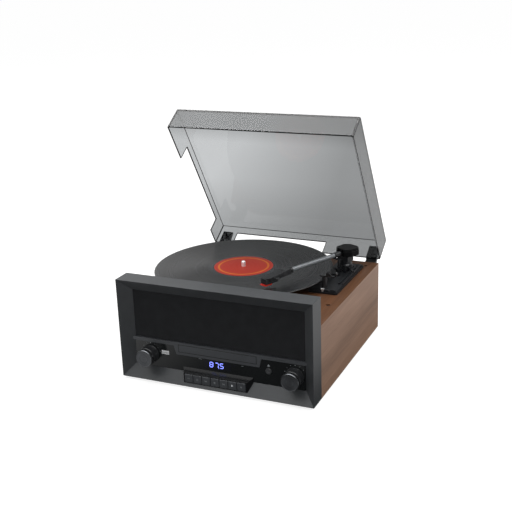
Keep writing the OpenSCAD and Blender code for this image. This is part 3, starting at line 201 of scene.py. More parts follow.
def settle(piece, name, body, materials, replaced=(), smooth=32):
    """Puts a finished piece's place in its mesh and tells the frame what it is."""
    choose(piece)
    bpy.ops.object.transform_apply(location=True, rotation=True, scale=True)
    if smooth:
        bpy.ops.object.shade_smooth_by_angle(angle=math.radians(smooth))
    piece.name = name
    piece.data.name = name
    if materials:
        keep = [p.material_index for p in piece.data.polygons]
        piece.data.materials.clear()
        for material in materials:
            piece.data.materials.append(material)
        for polygon, index in zip(piece.data.polygons, keep):
            polygon.material_index = min(index, len(materials) - 1)
    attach(piece, body)
    if replaced:
        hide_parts(*replaced)
    return piece


def softened(node, width, segments=2, angle=35):
    """A copy of a solid with its flat faces made whole and its sharp edges rounded."""
    source = NODES[node]
    piece = source.copy()
    piece.data = source.data.copy()
    piece.parent = None
    for key in list(piece.keys()):
        del piece[key]
    bpy.context.scene.collection.objects.link(piece)
    choose(piece)
    piece.data.materials.clear()
    if piece.data.has_custom_normals:
        bpy.ops.mesh.customdata_custom_splitnormals_clear()
    bpy.ops.object.mode_set(mode="EDIT")
    bpy.ops.mesh.select_mode(type="VERT")
    bpy.ops.mesh.select_all(action="SELECT")
    bpy.ops.mesh.remove_doubles(threshold=2e-6)
    bpy.ops.mesh.dissolve_limited(angle_limit=math.radians(0.6))
    bpy.ops.object.mode_set(mode="OBJECT")
    if width:
        apply_modifier(piece, "BEVEL", width=width, segments=segments, limit_method="ANGLE",
                       angle_limit=math.radians(angle), use_clamp_overlap=True, harden_normals=False)
        apply_modifier(piece, "WEIGHTED_NORMAL", keep_sharp=True)
    return piece


def soft_piece(node, name, materials, width=0.25 * MM, segments=2, angle=35):
    """The softened copy of a node that stands for it."""
    piece = softened(node, width, segments, angle)
    body = NODES[node]["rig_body"]
    return settle(piece, name, body, materials, (node,), smooth=0)


def turned(profile, sides=96, solid=True):
    """A turned piece about z: a circle that is extruded and scaled along (radius, height) in mm."""
    deselect()
    radius, height = profile[0]
    bpy.ops.mesh.primitive_circle_add(vertices=sides, radius=radius * MM,
                                      fill_type="NGON" if solid else "NOTHING")
    piece = bpy.context.object
    bpy.ops.object.mode_set(mode="EDIT")
    bpy.ops.mesh.select_all(action="SELECT")
    bpy.ops.transform.translate(value=(0, 0, height * MM))
    for (r0, z0), (r1, z1) in zip(profile, profile[1:]):
        bpy.ops.mesh.extrude_region_move(TRANSFORM_OT_translate={"value": (0, 0, (z1 - z0) * MM)})
        if r1 != r0:
            bpy.ops.transform.resize(value=(r1 / r0, r1 / r0, 1), center_override=(0, 0, z1 * MM))
    bpy.ops.mesh.select_all(action="SELECT")
    if not solid:
        bpy.ops.mesh.remove_doubles(threshold=2e-6)
    bpy.ops.mesh.normals_make_consistent(inside=False)
    bpy.ops.object.mode_set(mode="OBJECT")
    return piece


def placed(piece, place, turn=(0, 0, 0)):
    piece.location = place
    piece.rotation_euler = turn
    choose(piece)
    bpy.ops.object.transform_apply(location=True, rotation=True, scale=True)
    return piece


def bar(size, place):
    """A box of that size in mm about its place."""
    deselect()
    bpy.ops.mesh.primitive_cube_add(size=1)
    piece = bpy.context.object
    bpy.ops.object.mode_set(mode="EDIT")
    bpy.ops.mesh.select_all(action="SELECT")
    bpy.ops.transform.resize(value=tuple(s * MM for s in size), center_override=(0, 0, 0))
    bpy.ops.object.mode_set(mode="OBJECT")
    return placed(piece, place)


def joined(pieces):
    deselect()
    for piece in pieces:
        piece.select_set(True)
    bpy.context.view_layer.objects.active = pieces[0]
    if len(pieces) > 1:
        bpy.ops.object.join()
    return bpy.context.object


def flat_shape(points, thickness, place, turn=(0, 0, 0)):
    """A thin plate whose outline is given in mm, built from a circle with a corner for each point."""
    deselect()
    bpy.ops.mesh.primitive_circle_add(vertices=len(points), radius=1 * MM, fill_type="NGON")
    piece = bpy.context.object
    for vertex, (x, y) in zip(piece.data.vertices, points):
        vertex.co = (x * MM, y * MM, 0)
    bpy.ops.object.mode_set(mode="EDIT")
    bpy.ops.mesh.select_all(action="SELECT")
    bpy.ops.mesh.extrude_region_move(TRANSFORM_OT_translate={"value": (0, 0, thickness * MM)})
    bpy.ops.mesh.select_all(action="SELECT")
    bpy.ops.mesh.normals_make_consistent(inside=False)
    bpy.ops.object.mode_set(mode="OBJECT")
    return placed(piece, place, turn)


# ---------------------------------------------------------------- shared effects


def feed(tree, node, values):
    """Sets a node's inputs; a value that is a node or a socket is linked."""
    for key, value in values.items():
        if isinstance(value, bpy.types.Node):
            value = value.outputs[0]
        if isinstance(value, bpy.types.NodeSocket):
            tree.links.new(value, node.inputs[key])
        else:
            node.inputs[key].default_value = value


def add(tree, kind, values=None, **props):
    """A shader node of that kind with its properties and inputs set."""
    node = tree.nodes.new("ShaderNode" + kind)
    for key, value in props.items():
        setattr(node, key, value)
    feed(tree, node, values or {})
    return node


def maths(tree, operation, *terms):
    """A math node with its terms in order."""
    return add(tree, "Math", dict(enumerate(terms)), operation=operation)


def ramp(tree, value, start, end, low, high, kind="SMOOTHSTEP"):
    """Goes from low to high while the value goes from start to end."""
    return add(tree, "MapRange", {"Value": value, "From Min": start, "From Max": end, "To Min": low,
                                  "To Max": high}, interpolation_type=kind)


def effect(name, inputs, outputs):
    """An empty node group with named sockets, and its two ends."""
    tree = bpy.data.node_groups.new(name, "ShaderNodeTree")
    for label, kind, default in inputs:
        socket = tree.interface.new_socket(name=label, in_out="INPUT", socket_type="NodeSocket" + kind)
        socket.default_value = default
    for label, kind in outputs:
        tree.interface.new_socket(name=label, in_out="OUTPUT", socket_type="NodeSocket" + kind)
    return tree, tree.nodes.new("NodeGroupInput"), tree.nodes.new("NodeGroupOutput")


def build_moulded_grain():
    """Fine moulded grain, with slow changes of shade and gloss from handling."""
    tree, given, out = effect("Moulded Grain", (("Color", "Color", (0.1, 0.1, 0.1, 1)),
                                                ("Roughness", "Float", 0.5), ("Grain Size", "Float", 0.6),
                                                ("Grain Depth", "Float", 0.2), ("Smudge", "Float", 0.06)),
                              (("Color", "Color"), ("Roughness", "Float"), ("Normal", "Vector")))
    place = add(tree, "TexCoord").outputs["Object"]
    scale = maths(tree, "DIVIDE", 1000.0, given.outputs["Grain Size"])
    grain = add(tree, "TexNoise", {"Detail": 3.0, "Roughness": 0.55,
                                             "Vector": place, "Scale": scale})
    bump = add(tree, "Bump", {"Distance": 0.00008, "Height": grain.outputs["Fac"],
                                        "Strength": given.outputs["Grain Depth"]})
    smudge = add(tree, "TexNoise", {"Scale": 22.0, "Detail": 4.0, "Roughness": 0.6,
                                              "Vector": place})
    centred = maths(tree, "SUBTRACT", smudge.outputs["Fac"], 0.5)
    spread = maths(tree, "MULTIPLY_ADD", centred, given.outputs["Smudge"], given.outputs["Roughness"])
    shade = maths(tree, "MULTIPLY_ADD", centred, 0.5, 1.0)
    tint = add(tree, "VectorMath", {0: given.outputs["Color"],
                                              "Scale": shade}, operation="SCALE")
    feed(tree, out, {"Color": tint, "Roughness": spread, "Normal": bump})
    return tree


def build_wood_veneer():
    """Walnut-like veneer: slow bands and fine pores that run from front to back."""
    tree, given, out = effect("Wood Veneer", (("Color", "Color", (0.2, 0.1, 0.05, 1)),
                                              ("Contrast", "Float", 1.0), ("Shift", "Float", 0.0),
                                              ("Along", "Vector", (1.0, 0.05, 1.0))),
                              (("Color", "Color"), ("Roughness", "Float"), ("Normal", "Vector")))
    place = add(tree, "TexCoord").outputs["Object"]
    stretch = add(tree, "VectorMath", {0: place,
                                                 1: given.outputs["Along"]}, operation="MULTIPLY")
    move = add(tree, "VectorMath", {0: stretch, 1: given.outputs["Shift"]}, operation="ADD")
    bands = add(tree, "TexNoise", {"Scale": 26.0, "Detail": 5.0, "Roughness": 0.62,
                                             "Distortion": 0.7, "Vector": move})
    streak = add(tree, "TexNoise", {"Scale": 150.0, "Detail": 4.0, "Roughness": 0.6,
                                              "Vector": move})
    pores = add(tree, "TexNoise", {"Scale": 700.0, "Detail": 2.0, "Roughness": 0.5,
                                             "Vector": move})
    mixed = maths(tree, "MULTIPLY", bands.outputs["Fac"], 0.55)
    mixed2 = maths(tree, "MULTIPLY_ADD", streak.outputs["Fac"], 0.3, mixed)
    mixed3 = maths(tree, "MULTIPLY_ADD", pores.outputs["Fac"], 0.15, mixed2)
    centred = maths(tree, "SUBTRACT", mixed3, 0.5)
    strength = maths(tree, "MULTIPLY", centred, 3.2)
    contrast = maths(tree, "MULTIPLY_ADD", strength, given.outputs["Contrast"], 1.0)
    bright = add(tree, "VectorMath", {0: given.outputs["Color"],
                                                "Scale": contrast}, operation="SCALE")
    gloss = maths(tree, "MULTIPLY_ADD", mixed3, -0.25, 0.6)
    bump = add(tree, "Bump", {"Strength": 0.25, "Distance": 0.0001, "Height": mixed3})
    feed(tree, out, {"Color": bright, "Roughness": gloss, "Normal": bump})
    return tree


def build_fine_weave():
    """Plain weave of threads along x and z, with painted shade in its low parts."""
    tree, given, out = effect("Fine Weave", (("Color", "Color", (0.02, 0.02, 0.02, 1)),
                                             ("Thread", "Float", 0.9), ("Depth", "Float", 0.6)),
                              (("Color", "Color"), ("Normal", "Vector")))
    place = add(tree, "TexCoord").outputs["Object"]
    split = add(tree, "SeparateXYZ", {0: place})
    rate = maths(tree, "DIVIDE", 2000.0 * math.pi, given.outputs["Thread"])
    waves = []
    for axis in ("X", "Z"):
        turn = maths(tree, "MULTIPLY", split.outputs[axis], rate)
        wave = maths(tree, "SINE", turn)
        waves.append(wave)
    cross = maths(tree, "MULTIPLY", waves[0].outputs[0], waves[1].outputs[0])
    height = maths(tree, "MULTIPLY_ADD", cross, 0.5, 0.5)
    uneven = add(tree, "TexNoise", {"Scale": 60.0, "Detail": 3.0,
                                              "Vector": place})
    # painted shade: the colour is darker where the weave is low, between the threads
    shade = maths(tree, "MULTIPLY_ADD", height, 0.7, 0.3)
    shade2 = maths(tree, "MULTIPLY_ADD", uneven.outputs["Fac"], 0.6, shade)
    tint = add(tree, "VectorMath", {0: given.outputs["Color"],
                                              "Scale": shade2}, operation="SCALE")
    bump = add(tree, "Bump", {"Distance": 0.0002, "Height": height,
                                        "Strength": given.outputs["Depth"]})
    feed(tree, out, {"Color": tint, "Normal": bump})
    return tree


def build_turning_marks():
    """Fine rings about an axis, with the tangent that runs round it."""
    tree, given, out = effect("Turning Marks",
                              (("Centre", "Vector", (0, 0, 0)), ("Axis", "Vector", (0, 0, 1)),
                               ("Pitch", "Float", 0.4), ("Depth", "Float", 0.2)),
                              (("Radius", "Float"), ("Ring", "Float"), ("Normal", "Vector"),
                               ("Tangent", "Vector")))
    place = add(tree, "TexCoord").outputs["Object"]
    from_centre = add(tree, "VectorMath", {0: place,
                                                     1: given.outputs["Centre"]}, operation="SUBTRACT")
    round_it = add(tree, "VectorMath", {0: given.outputs["Axis"],
                                                  1: from_centre}, operation="CROSS_PRODUCT")
    radius = add(tree, "VectorMath", {0: round_it}, operation="LENGTH")
    way = add(tree, "VectorMath", {0: round_it}, operation="NORMALIZE")
    rate = maths(tree, "DIVIDE", 1000.0, given.outputs["Pitch"])
    steps = maths(tree, "MULTIPLY", radius.outputs["Value"], rate)
    rings = add(tree, "TexNoise", {"Scale": 1.0, "Detail": 2.0,
                                             "W": steps}, noise_dimensions="1D")
    bump = add(tree, "Bump", {"Distance": 0.00006, "Height": rings.outputs["Fac"],
                                        "Strength": given.outputs["Depth"]})
    feed(tree, out, {"Radius": radius.outputs["Value"], "Ring": rings.outputs["Fac"], "Normal": bump,
                     "Tangent": way})
    return tree


EFFECTS = {}


def shared(name):
    if name not in EFFECTS:
        EFFECTS[name] = {"Moulded Grain": build_moulded_grain, "Wood Veneer": build_wood_veneer,
                         "Fine Weave": build_fine_weave, "Turning Marks": build_turning_marks}[name]()
    return EFFECTS[name]


# ---------------------------------------------------------------- materials


def blank(name, values):
    """A material with a Principled shader, and that shader."""
    material = bpy.data.materials.new(name)
    material.use_nodes = True
    tree = material.node_tree
    shader = tree.nodes["Principled BSDF"]
    for key, value in values.items():
        shader.inputs[key].default_value = value
    material.diffuse_color = values.get("Base Color", (0.5, 0.5, 0.5, 1))
    return material, tree, shader


def dressed(name, effect_name, inputs, values):
    """A material whose shader takes all that the effect puts out."""
    material, tree, shader = blank(name, values)
    group = add(tree, "Group", inputs, node_tree=shared(effect_name))
    feed(tree, shader, {"Base Color" if socket.name == "Color" else socket.name: socket
                        for socket in group.outputs})
    return material


MADE = {}


def moulded(name, colour, roughness=0.5, grain=0.6, depth=0.15, smudge=0.08, **values):
    """Plastic, rubber or painted metal with moulded grain; the colour may be a screen code."""
    if isinstance(colour, str):
        colour = tone(colour)
    key = name.replace(" ", "_")
    if key not in MADE:
        values.setdefault("Specular IOR Level", 0.3)
        inputs = {"Color": colour, "Roughness": roughness, "Grain Size": grain,
                  "Grain Depth": depth, "Smudge": smudge}
        MADE[key] = dressed(key, "Moulded Grain", inputs, values)
    return MADE[key]


def stamped_steel():
    return moulded("stamped steel", "8e9093", 0.35, 0.8, 0.06, 0.08, Metallic=0.9)


def wood(name, colour, contrast, shift, along=(1.0, 0.045, 1.0)):
    """Veneer whose grain is stretched along one axis."""
    inputs = {"Color": colour, "Contrast": contrast, "Shift": shift, "Along": along}
    return dressed(name, "Wood Veneer", inputs, {"Specular IOR Level": 0.2})


def woven(name, colour, thread, depth):
    return dressed(name, "Fine Weave", {"Color": colour, "Thread": thread, "Depth": depth},
                   {"Roughness": 0.9, "Specular IOR Level": 0.2})


def turned_finish(name, colour, centre, axis, roughness=0.3, metallic=0.0, stretch=0.7, pitch=0.35,
                  depth=0.2, **values):
    """A finish with turning marks round an axis, whose highlight spreads across them."""
    material, tree, shader = blank(name, dict({"Metallic": metallic, "Anisotropic": stretch,
                                               "Base Color": colour}, **values))
    group = add(tree, "Group", {"Centre": centre, "Axis": axis, "Pitch": pitch, "Depth": depth},
                node_tree=shared("Turning Marks"))
    gloss = maths(tree, "MULTIPLY_ADD", group.outputs["Ring"], 0.16, roughness - 0.08)
    feed(tree, shader, {"Roughness": gloss, "Normal": group.outputs["Normal"],
                        "Tangent": group.outputs["Tangent"]})
    return material, tree, shader, group


def record_finish():
    """Pressed vinyl: grooves, and painted sheen in the colour: lighter bands for the gaps between tracks
    and a much lighter smooth ring by the label.
    """
    deck = bpy.context.scene.music_deck
    material, tree, shader, group = turned_finish("pressed_vinyl", deck.vinyl, RECORD_CENTRE, (0, 0, 1),
                                                  roughness=0.27, stretch=0.86, pitch=0.5, depth=0.28)
    # painted sheen: the vinyl's colour is made lighter in bands across the grooves and on the smooth ring
    # by the label
    wide = maths(tree, "MULTIPLY", group.outputs["Radius"], 95.0)
    bands = add(tree, "TexNoise", {"Scale": 1.0, "Detail": 1.0, "W": wide}, noise_dimensions="1D")
    uneven = maths(tree, "MULTIPLY_ADD", bands.outputs["Fac"], 1.9, -0.1)
    smooth_ring_sheen = ramp(tree, group.outputs["Radius"], deck.label_r + 10 * MM,
                       deck.label_r + 8.5 * MM, 0.0, 2.4, "LINEAR")
    shade = maths(tree, "ADD", uneven, smooth_ring_sheen.outputs["Result"])
    tint = add(tree, "VectorMath", {0: tuple(deck.vinyl)[:3], "Scale": shade}, operation="SCALE")
    feed(tree, shader, {"Base Color": tint})
    return material


def label_finish():
    """Printed paper label: a plain colour with one ring."""
    deck = bpy.context.scene.music_deck
    material, tree, shader, group = turned_finish("printed_label", deck.label_red, RECORD_CENTRE,
                                                  (0, 0, 1), roughness=0.45, stretch=0.0, pitch=3.0,
                                                  depth=0.05, **{"Specular IOR Level": 0.15})
    ring = add(tree, "ValToRGB")
    ring.color_ramp.interpolation = "LINEAR"
    stops = ring.color_ramp.elements
    red = tuple(deck.label_red)
    orange = tuple(deck.label_ring)
    stops[0].position, stops[0].color = 0.0, red
    stops[1].position, stops[1].color = 0.795, red
    for position, colour in ((0.81, orange), (0.865, orange), (0.88, red), (1.0, red)):
        stop = stops.new(position)
        stop.color = colour
    share = maths(tree, "DIVIDE", group.outputs["Radius"], deck.label_r)
    feed(tree, ring, {"Fac": share})
    feed(tree, shader, {"Base Color": ring.outputs["Color"]})
    return material


def smoked_finish():
    """Clear smoked plastic of the cover."""
    return blank("smoked_cover", {"Base Color": bpy.context.scene.music_cover.smoke,
                                  "Roughness": 0.02, "IOR": 1.3, "Transmission Weight": 1.0})[0]


def lit(name, colour, power):
    """Dark plastic that glows in one colour."""
    return blank(name, {"Base Color": (0.02, 0.02, 0.03, 1), "Roughness": 0.4,
                        "Emission Color": colour, "Emission Strength": power})[0]


# ---------------------------------------------------------------- pieces


class MUSIC_OT_case(bpy.types.Operator):
    """Wooden case: mitred boards with veneer, rear board, feet and screws"""
    bl_idname = "music.case"
    bl_label = "Wooden case"

    def execute(self, context):
        case = context.scene.music_case
        side = wood("side_veneer", case.side_wood, 0.55, 3.1)
        top = wood("top_veneer", case.top_wood, 1.0, 7.7)
        under = wood("base_veneer", tone("54402f"), 0.5, 1.3)
        back = wood("back_board", tone("1f1c1a"), 0.3, 2.2, (1.0, 1.0, 0.05))
        soft_piece("side_board_left", "left_side_board", [side], case.edge)
        soft_piece("side_board_right", "right_side_board", [side], case.edge)
        soft_piece("top_board", "veneered_top", [top], case.edge)
        soft_piece("bottom_board", "veneered_base", [under], case.edge)
        soft_piece("rear_panel", "slotted_back", [back], 0.4 * MM)
        rubber = moulded("soft foot rubber", "161616", 0.75, 0.5, 0.4)
        soft_piece("rubber_feet", "round_feet", [rubber], 0.8 * MM, 3)
        screw = moulded("blackened screw", "1a1a1b", 0.35, 0.4, 0.05)
        soft_piece("case_screws", "cross_head_screws", [screw], 0.12 * MM)
        return {"FINISHED"}


class MUSIC_OT_front(bpy.types.Operator):
    """Bevelled front moulding with the lighter crossbar, and the cloth grille"""
    bl_idname = "music.front"
    bl_label = "Front moulding"

    def execute(self, context):
        case = context.scene.music_case
        grey = moulded("front moulding", case.frame_grey, 0.37, 0.5, 0.22)
        trim = moulded("crossbar satin", case.trim_grey, 0.36, 0.5, 0.12)
        piece = softened("front_frame", case.frame_edge, 2)
        low, high = at(-150, 13.5, 44), at(150, 20.5, 66.6)
        bevel_x = at(146.5, 0, 0).x
        for polygon in piece.data.polygons:
            c = polygon.center
            inside = low.y < c.y < high.y and low.z < c.z < high.z
            inside = inside and abs(c.x - FRONT_X) < bevel_x - FRONT_X
            facing = polygon.normal.y < -0.9 or polygon.normal.z > 0.5 or c.z < at(0, 0, 59.9).z
            polygon.material_index = 1 if inside and facing else 0
        settle(piece, "bevelled_front", "case", [grey, trim], ("front_frame",), smooth=0)
        cloth = woven("woven_cloth", case.cloth, 1.1, 0.8)
        soft_piece("speaker_grille", "cloth_grille", [cloth], 0.9 * MM, 3)
        board = wood("baffle_chipboard", tone("2a2622"), 0.4, 4.4, (0.1, 1.0, 1.0))
        soft_piece("speaker_baffle", "drilled_baffle", [board], 0.3 * MM)
        basket = moulded("pressed speaker steel", "6a6b6d", 0.4, 0.5, 0.1)
        soft_piece("speaker_frames", "pressed_baskets", [basket], 0.3 * MM)
        paper = moulded("pressed cone paper", "1c1c1e", 0.85, 0.9, 0.6)
        soft_piece("speaker_cones", "paper_cones", [paper], 0)
        return {"FINISHED"}


def digit(shape, left, low, w, h, t, lean):
    """One seven-segment digit as thin plates, in mm on the display; left and low are its corner."""
    g = t * 0.18
    mid = h / 2
    outline = {
        "a": [(t / 2 + g, h), (t + g, h - t), (w - t - g, h - t), (w - t / 2 - g, h)],
        "g": [(t / 2 + g, mid), (t + g, mid + t / 2), (w - t - g, mid + t / 2), (w - t / 2 - g, mid),
              (w - t - g, mid - t / 2), (t + g, mid - t / 2)],
        "d": [(t / 2 + g, 0), (t + g, t), (w - t - g, t), (w - t / 2 - g, 0)],
        "f": [(0, mid + g), (t, mid + t / 2 + g), (t, h - t - g), (0, h - t / 2 - g)],
        "b": [(w, mid + g), (w - t, mid + t / 2 + g), (w - t, h - t - g), (w, h - t / 2 - g)],
        "e": [(0, mid - g), (t, mid - t / 2 - g), (t, t + g), (0, t / 2 + g)],
        "c": [(w, mid - g), (w - t, mid - t / 2 - g), (w - t, t + g), (w, t / 2 + g)],
    }
    used = {"8": "abcdefg", "7": "abc", "5": "acdfg"}[shape]
    plates = []
    for key in used:
        points = [(left + x + (low + y) * lean, low + y) for x, y in outline[key]]
        plates.append(points)
    return plates


class MUSIC_OT_panel(bpy.types.Operator):
    """Glossy control panel with its display, digits, marks, boards and sockets"""
    bl_idname = "music.panel"
    bl_label = "Control panel"

    def execute(self, context):
        controls = context.scene.music_controls
        gloss = moulded("piano black", controls.panel_black, 0.14, 3.0, 0.02, 0.04,
                        **{"Specular IOR Level": 0.5})
        soft_piece("control_panel", "glossy_panel", [gloss], 0.2 * MM)
        window = moulded("smoked window", "191a20", 0.08, 3.0, 0.0, 0.02, **{"Specular IOR Level": 0.5})
        soft_piece("display_lens", "smoked_window", [window], 0.12 * MM)
        front_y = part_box("display_lens")[0].y
        centre_z = middle("display_lens").z
        glow = lit("lit_digits", controls.digit_blue, controls.digit_power)
        plates = []
        base = (centre_z - FRONT_LOW.z) / MM - 4.6
        for shape, left in (("8", -14.2), ("7", -5.0), ("5", 3.4)):
            for points in digit(shape, left, 0, 6.6, 9.2, 1.25, 0.08):
                plates.append(flat_shape(points, 0.06, (FRONT_X, front_y - 0.02 * MM,
                                                        FRONT_LOW.z + base * MM), (math.pi / 2, 0, 0)))
        point = [(1.9 + 0.75 * math.cos(a * math.pi / 6), 0.6 + 0.75 * math.sin(a * math.pi / 6))
                 for a in range(12)]
        plates.append(flat_shape(point, 0.06, (FRONT_X, front_y - 0.02 * MM, FRONT_LOW.z + base * MM),
                                 (math.pi / 2, 0, 0)))
        settle(joined(plates), "lit_digits", "case", [glow], smooth=0)
        grey = moulded("printed marks", controls.mark_grey, 0.5, 0.5, 0.0)
        marks = []
        # eject sign, dots round the knobs and two short bars
        marks.append(flat_shape([(-2.0, 0), (2.0, 0), (0, 2.4)], 0.06, at(86, 15.0, 50.2),
                                (math.pi / 2, 0, 0)))
        marks.append(bar((4.0, 0.06, 0.8), at(86, 14.98, 49.2)))
        for x in (-117, 129):
            for step in range(-3, 4):
                a = math.radians(90 + step * 24)
                size = 1.1 if step in (-3, 0, 3) else 0.7
                place = at(x + 17.6 * math.cos(a), 14.98, 40.2 + 17.6 * math.sin(a))
                if place.z < at(0, 0, 59.5).z and abs(x + 17.6 * math.cos(a)) < 143:
                    marks.append(bar((size, 0.06, size), place))
        marks.append(bar((5.0, 0.06, 0.5), at(-30, 14.98, 43.5)))
        marks.append(bar((3.4, 0.06, 0.5), at(42.5, 14.98, 42.6)))
        settle(joined(marks), "printed_marks", "case", [grey], smooth=0)
        board = moulded("green board", "1f5a33", 0.4, 0.9, 0.3)
        for node, name in (("front_circuit_board", "front_board"), ("main_circuit_board", "main_board")):
            soft_piece(node, name, [board], 0.15 * MM)
        steel = moulded("bright tin", "f0f1f2", 0.4, 0.8, 0.03, 0.05, Metallic=0.3)
        dull = stamped_steel()
        soft_piece("usb_socket", "usb_shell", [steel], 0.08 * MM)
        soft_piece("rotary_encoders", "knob_encoders", [dull], 0.2 * MM)
        return {"FINISHED"}


def icon_plates(kind):
    """Outlines in mm of a plain transport sign."""
    triangle = [(-1.3, -1.5), (1.5, 0), (-1.3, 1.5)]
    left = [(1.3, -1.5), (1.3, 1.5), (-1.5, 0)]
    square = [(-1.3, -1.3), (1.3, -1.3), (1.3, 1.3), (-1.3, 1.3)]

    def block(x, w=0.6, h=3.0):
        return [(x - w / 2, -h / 2), (x + w / 2, -h / 2), (x + w / 2, h / 2), (x - w / 2, h / 2)]

    def dot(x, y, r):
        return [(x + r * math.cos(math.pi * i / 6), y + r * math.sin(math.pi * i / 6)) for i in range(12)]
    return {"dots": [dot(-1.6, 0, 0.5), dot(0, 0, 0.5), dot(1.6, 0, 0.5)],
            "bars": [block(0, 3.2, 0.6), [(x, y + 1.3) for x, y in block(0, 3.2, 0.6)],
                     [(x, y - 1.3) for x, y in block(0, 3.2, 0.6)]],
            "back": [left, block(-1.9)], "stop": [square], "on": [triangle, block(1.9)],
            "play": [[(x * 1.25, y * 1.25) for x, y in triangle]],
            "ring": [dot(0, 0, 1.4)]}[kind]


class MUSIC_OT_keys(bpy.types.Operator):
    """Housing of the keys, seven keys with plain transport signs, and the eject button"""
    bl_idname = "music.keys"
    bl_label = "Keys"

    def execute(self, context):
        controls = context.scene.music_controls
        gloss = moulded("glossy bezel", "141517", 0.16, 3.0, 0.02, 0.04)
        soft_piece("key_housing", "key_bezel", [gloss], 0.3 * MM, 3)
        satin = moulded("satin key", controls.key_black, 0.34, 0.4, 0.12)
        faint = moulded("key marks", "6f7275", 0.5, 0.5, 0.0)
        bright = moulded("play mark", "c9ccce", 0.5, 0.5, 0.0)
        for i, kind in enumerate(("dots", "bars", "back", "stop", "on", "play", "ring"), 1):
            node = "key_%d" % i
            soft_piece(node, "moulded_key_%d" % i, [satin], 0.35 * MM, 3)
            low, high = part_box(node)
            place = Vector(((low.x + high.x) / 2, low.y + 0.02 * MM, (low.z + high.z) / 2))
            plates = [flat_shape(points, 0.04, place, (math.pi / 2, 0, 0)) for points in icon_plates(kind)]
            settle(joined(plates), "key_sign_%d" % i, NODES[node]["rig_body"],
                   [bright if kind == "play" else faint], smooth=0)
        button = moulded("eject plastic", "3a3b3d", 0.35, 0.4, 0.1)
        soft_piece("eject_button", "round_eject_button", [button], 0.25 * MM, 3)
        return {"FINISHED"}


def knob(node, name, body):
    """A turned knob: dished front face with rings, a chamfer whose lighter colour is a painted highlight,
    grooved skirt and collar.
    """
    controls = bpy.context.scene.music_controls
    low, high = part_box(node)
    axis = Vector(((low.x + high.x) / 2, low.y, (low.z + high.z) / 2))
    face = turned_finish(name + "_face", controls.knob_black, axis, (0, 1, 0), roughness=0.3, metallic=0.6,
                         stretch=0.8, pitch=0.5, depth=0.3)[0]
    side = moulded("knob gloss", "2b2c2e", 0.16, 2.0, 0.04, 0.05)
    # painted highlight: the chamfer ring is given a lighter, more metallic colour than the face
    edge = moulded("knob chamfer painted highlight", "5a5c5f", 0.22, 2.0, 0.04, 0.05, Metallic=0.8)
    r = (high.x - low.x) / 2 / MM - 0.5
    length = 23.7
    profile = [(0.4, 0.55), (4.0, 0.5), (r - 3.0, 0.35), (r - 1.5, 0.3), (r - 1.1, 0.0), (r - 0.8, 0.0),
               (r - 0.1, 0.75), (r, 1.1), (r, 6.4), (r - 0.15, 6.6), (r - 0.7, 7.1), (r - 0.75, 7.4),
               (r - 0.75, 7.9), (r - 0.6, 8.15), (r - 0.1, 8.5), (r, 8.8), (r, length - 3.2),
               (r + 0.1, length - 3.0), (r + 0.45, length - 2.6), (r + 0.5, length - 2.3),
               (r + 0.5, length - 0.2), (r + 0.3, length), (r - 2.0, length), (r - 2.0, 10.0),
               (6.1, 10.0), (6.1, length), (5.1, length), (5.1, length - 3.4), (3.0, length - 3.4),
               (3.0, length + 7.3), (0.4, length + 7.5)]
    piece = turned(profile, 128)
    piece = placed(piece, axis, (-math.pi / 2, 0, 0))
    for polygon in piece.data.polygons:
        depth = (polygon.center.y - low.y) / MM
        off = Vector((polygon.center.x - axis.x, 0, polygon.center.z - axis.z)).length / MM
        polygon.material_index = 0 if depth < 0.6 and off < r - 1.2 else (2 if depth < 0.9 else 1)
    settle(piece, name, body, [face, side, edge], (node,), smooth=38)


class MUSIC_OT_knobs(bpy.types.Operator):
    """Two turned knobs"""
    bl_idname = "music.knobs"
    bl_label = "Knobs"

    def execute(self, context):
        knob("knob_left", "turned_left_knob", "knob_left_body")
        knob("knob_right", "turned_right_knob", "knob_right_body")
        return {"FINISHED"}


class MUSIC_OT_disc_player(bpy.types.Operator):
    """Disc tray with its door, and the player behind it"""
    bl_idname = "music.disc_player"
    bl_label = "Disc player"

    def execute(self, context):
        tray = moulded("moulded tray", "333537", 0.3, 0.5, 0.08)
        piece = softened("disc_tray", 0.35 * MM, 3)
        for polygon in piece.data.polygons:
            door = polygon.center.y < at(0, 19.5, 0).y
            polygon.material_index = 1 if door else 0
        trim = moulded("crossbar satin", context.scene.music_case.trim_grey, 0.36, 0.5, 0.12)
        settle(piece, "tray_with_door", "disc_tray_body", [tray, trim],
               ("disc_tray",), smooth=0)
        # painted shadow: thin near-black bars round the door, just in front of the trim, stand for the
        # shade in the gap
        low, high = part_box("disc_tray")
        gap = moulded("door gap", "060607", 0.7, 0.5, 0.0)
        width, height = (high.x - low.x) / MM, (high.z - low.z) / MM
        front = low.y + 0.14 * MM
        lines = []
        for z in (low.z - 0.3 * MM, high.z + 0.3 * MM):
            lines.append(bar((width + 1.6, 0.06, 1.0), Vector(((low.x + high.x) / 2, front, z))))
        for x in (low.x - 0.3 * MM, high.x + 0.3 * MM):
            lines.append(bar((1.0, 0.06, height + 1.6), Vector((x, front, (low.z + high.z) / 2))))
        settle(joined(lines), "door_gap", "case", [gap], smooth=0)
        chassis = moulded("moulded chassis", "2d2e2f", 0.6, 0.6, 0.3)
        soft_piece("disc_chassis", "player_chassis", [chassis], 0.3 * MM)
        steel = stamped_steel()
        soft_piece("disc_clamp", "clamp_bridge", [steel], 0.2 * MM)
        sled = moulded("moulded sled", "3d3e40", 0.5, 0.5, 0.2)
        soft_piece("laser_sled", "laser_carriage", [sled], 0.2 * MM)
        hub = moulded("moulded hub", "2a2a2b", 0.45, 0.5, 0.15)
        soft_piece("disc_hub", "turning_hub", [hub], 0.3 * MM)
        return {"FINISHED"}


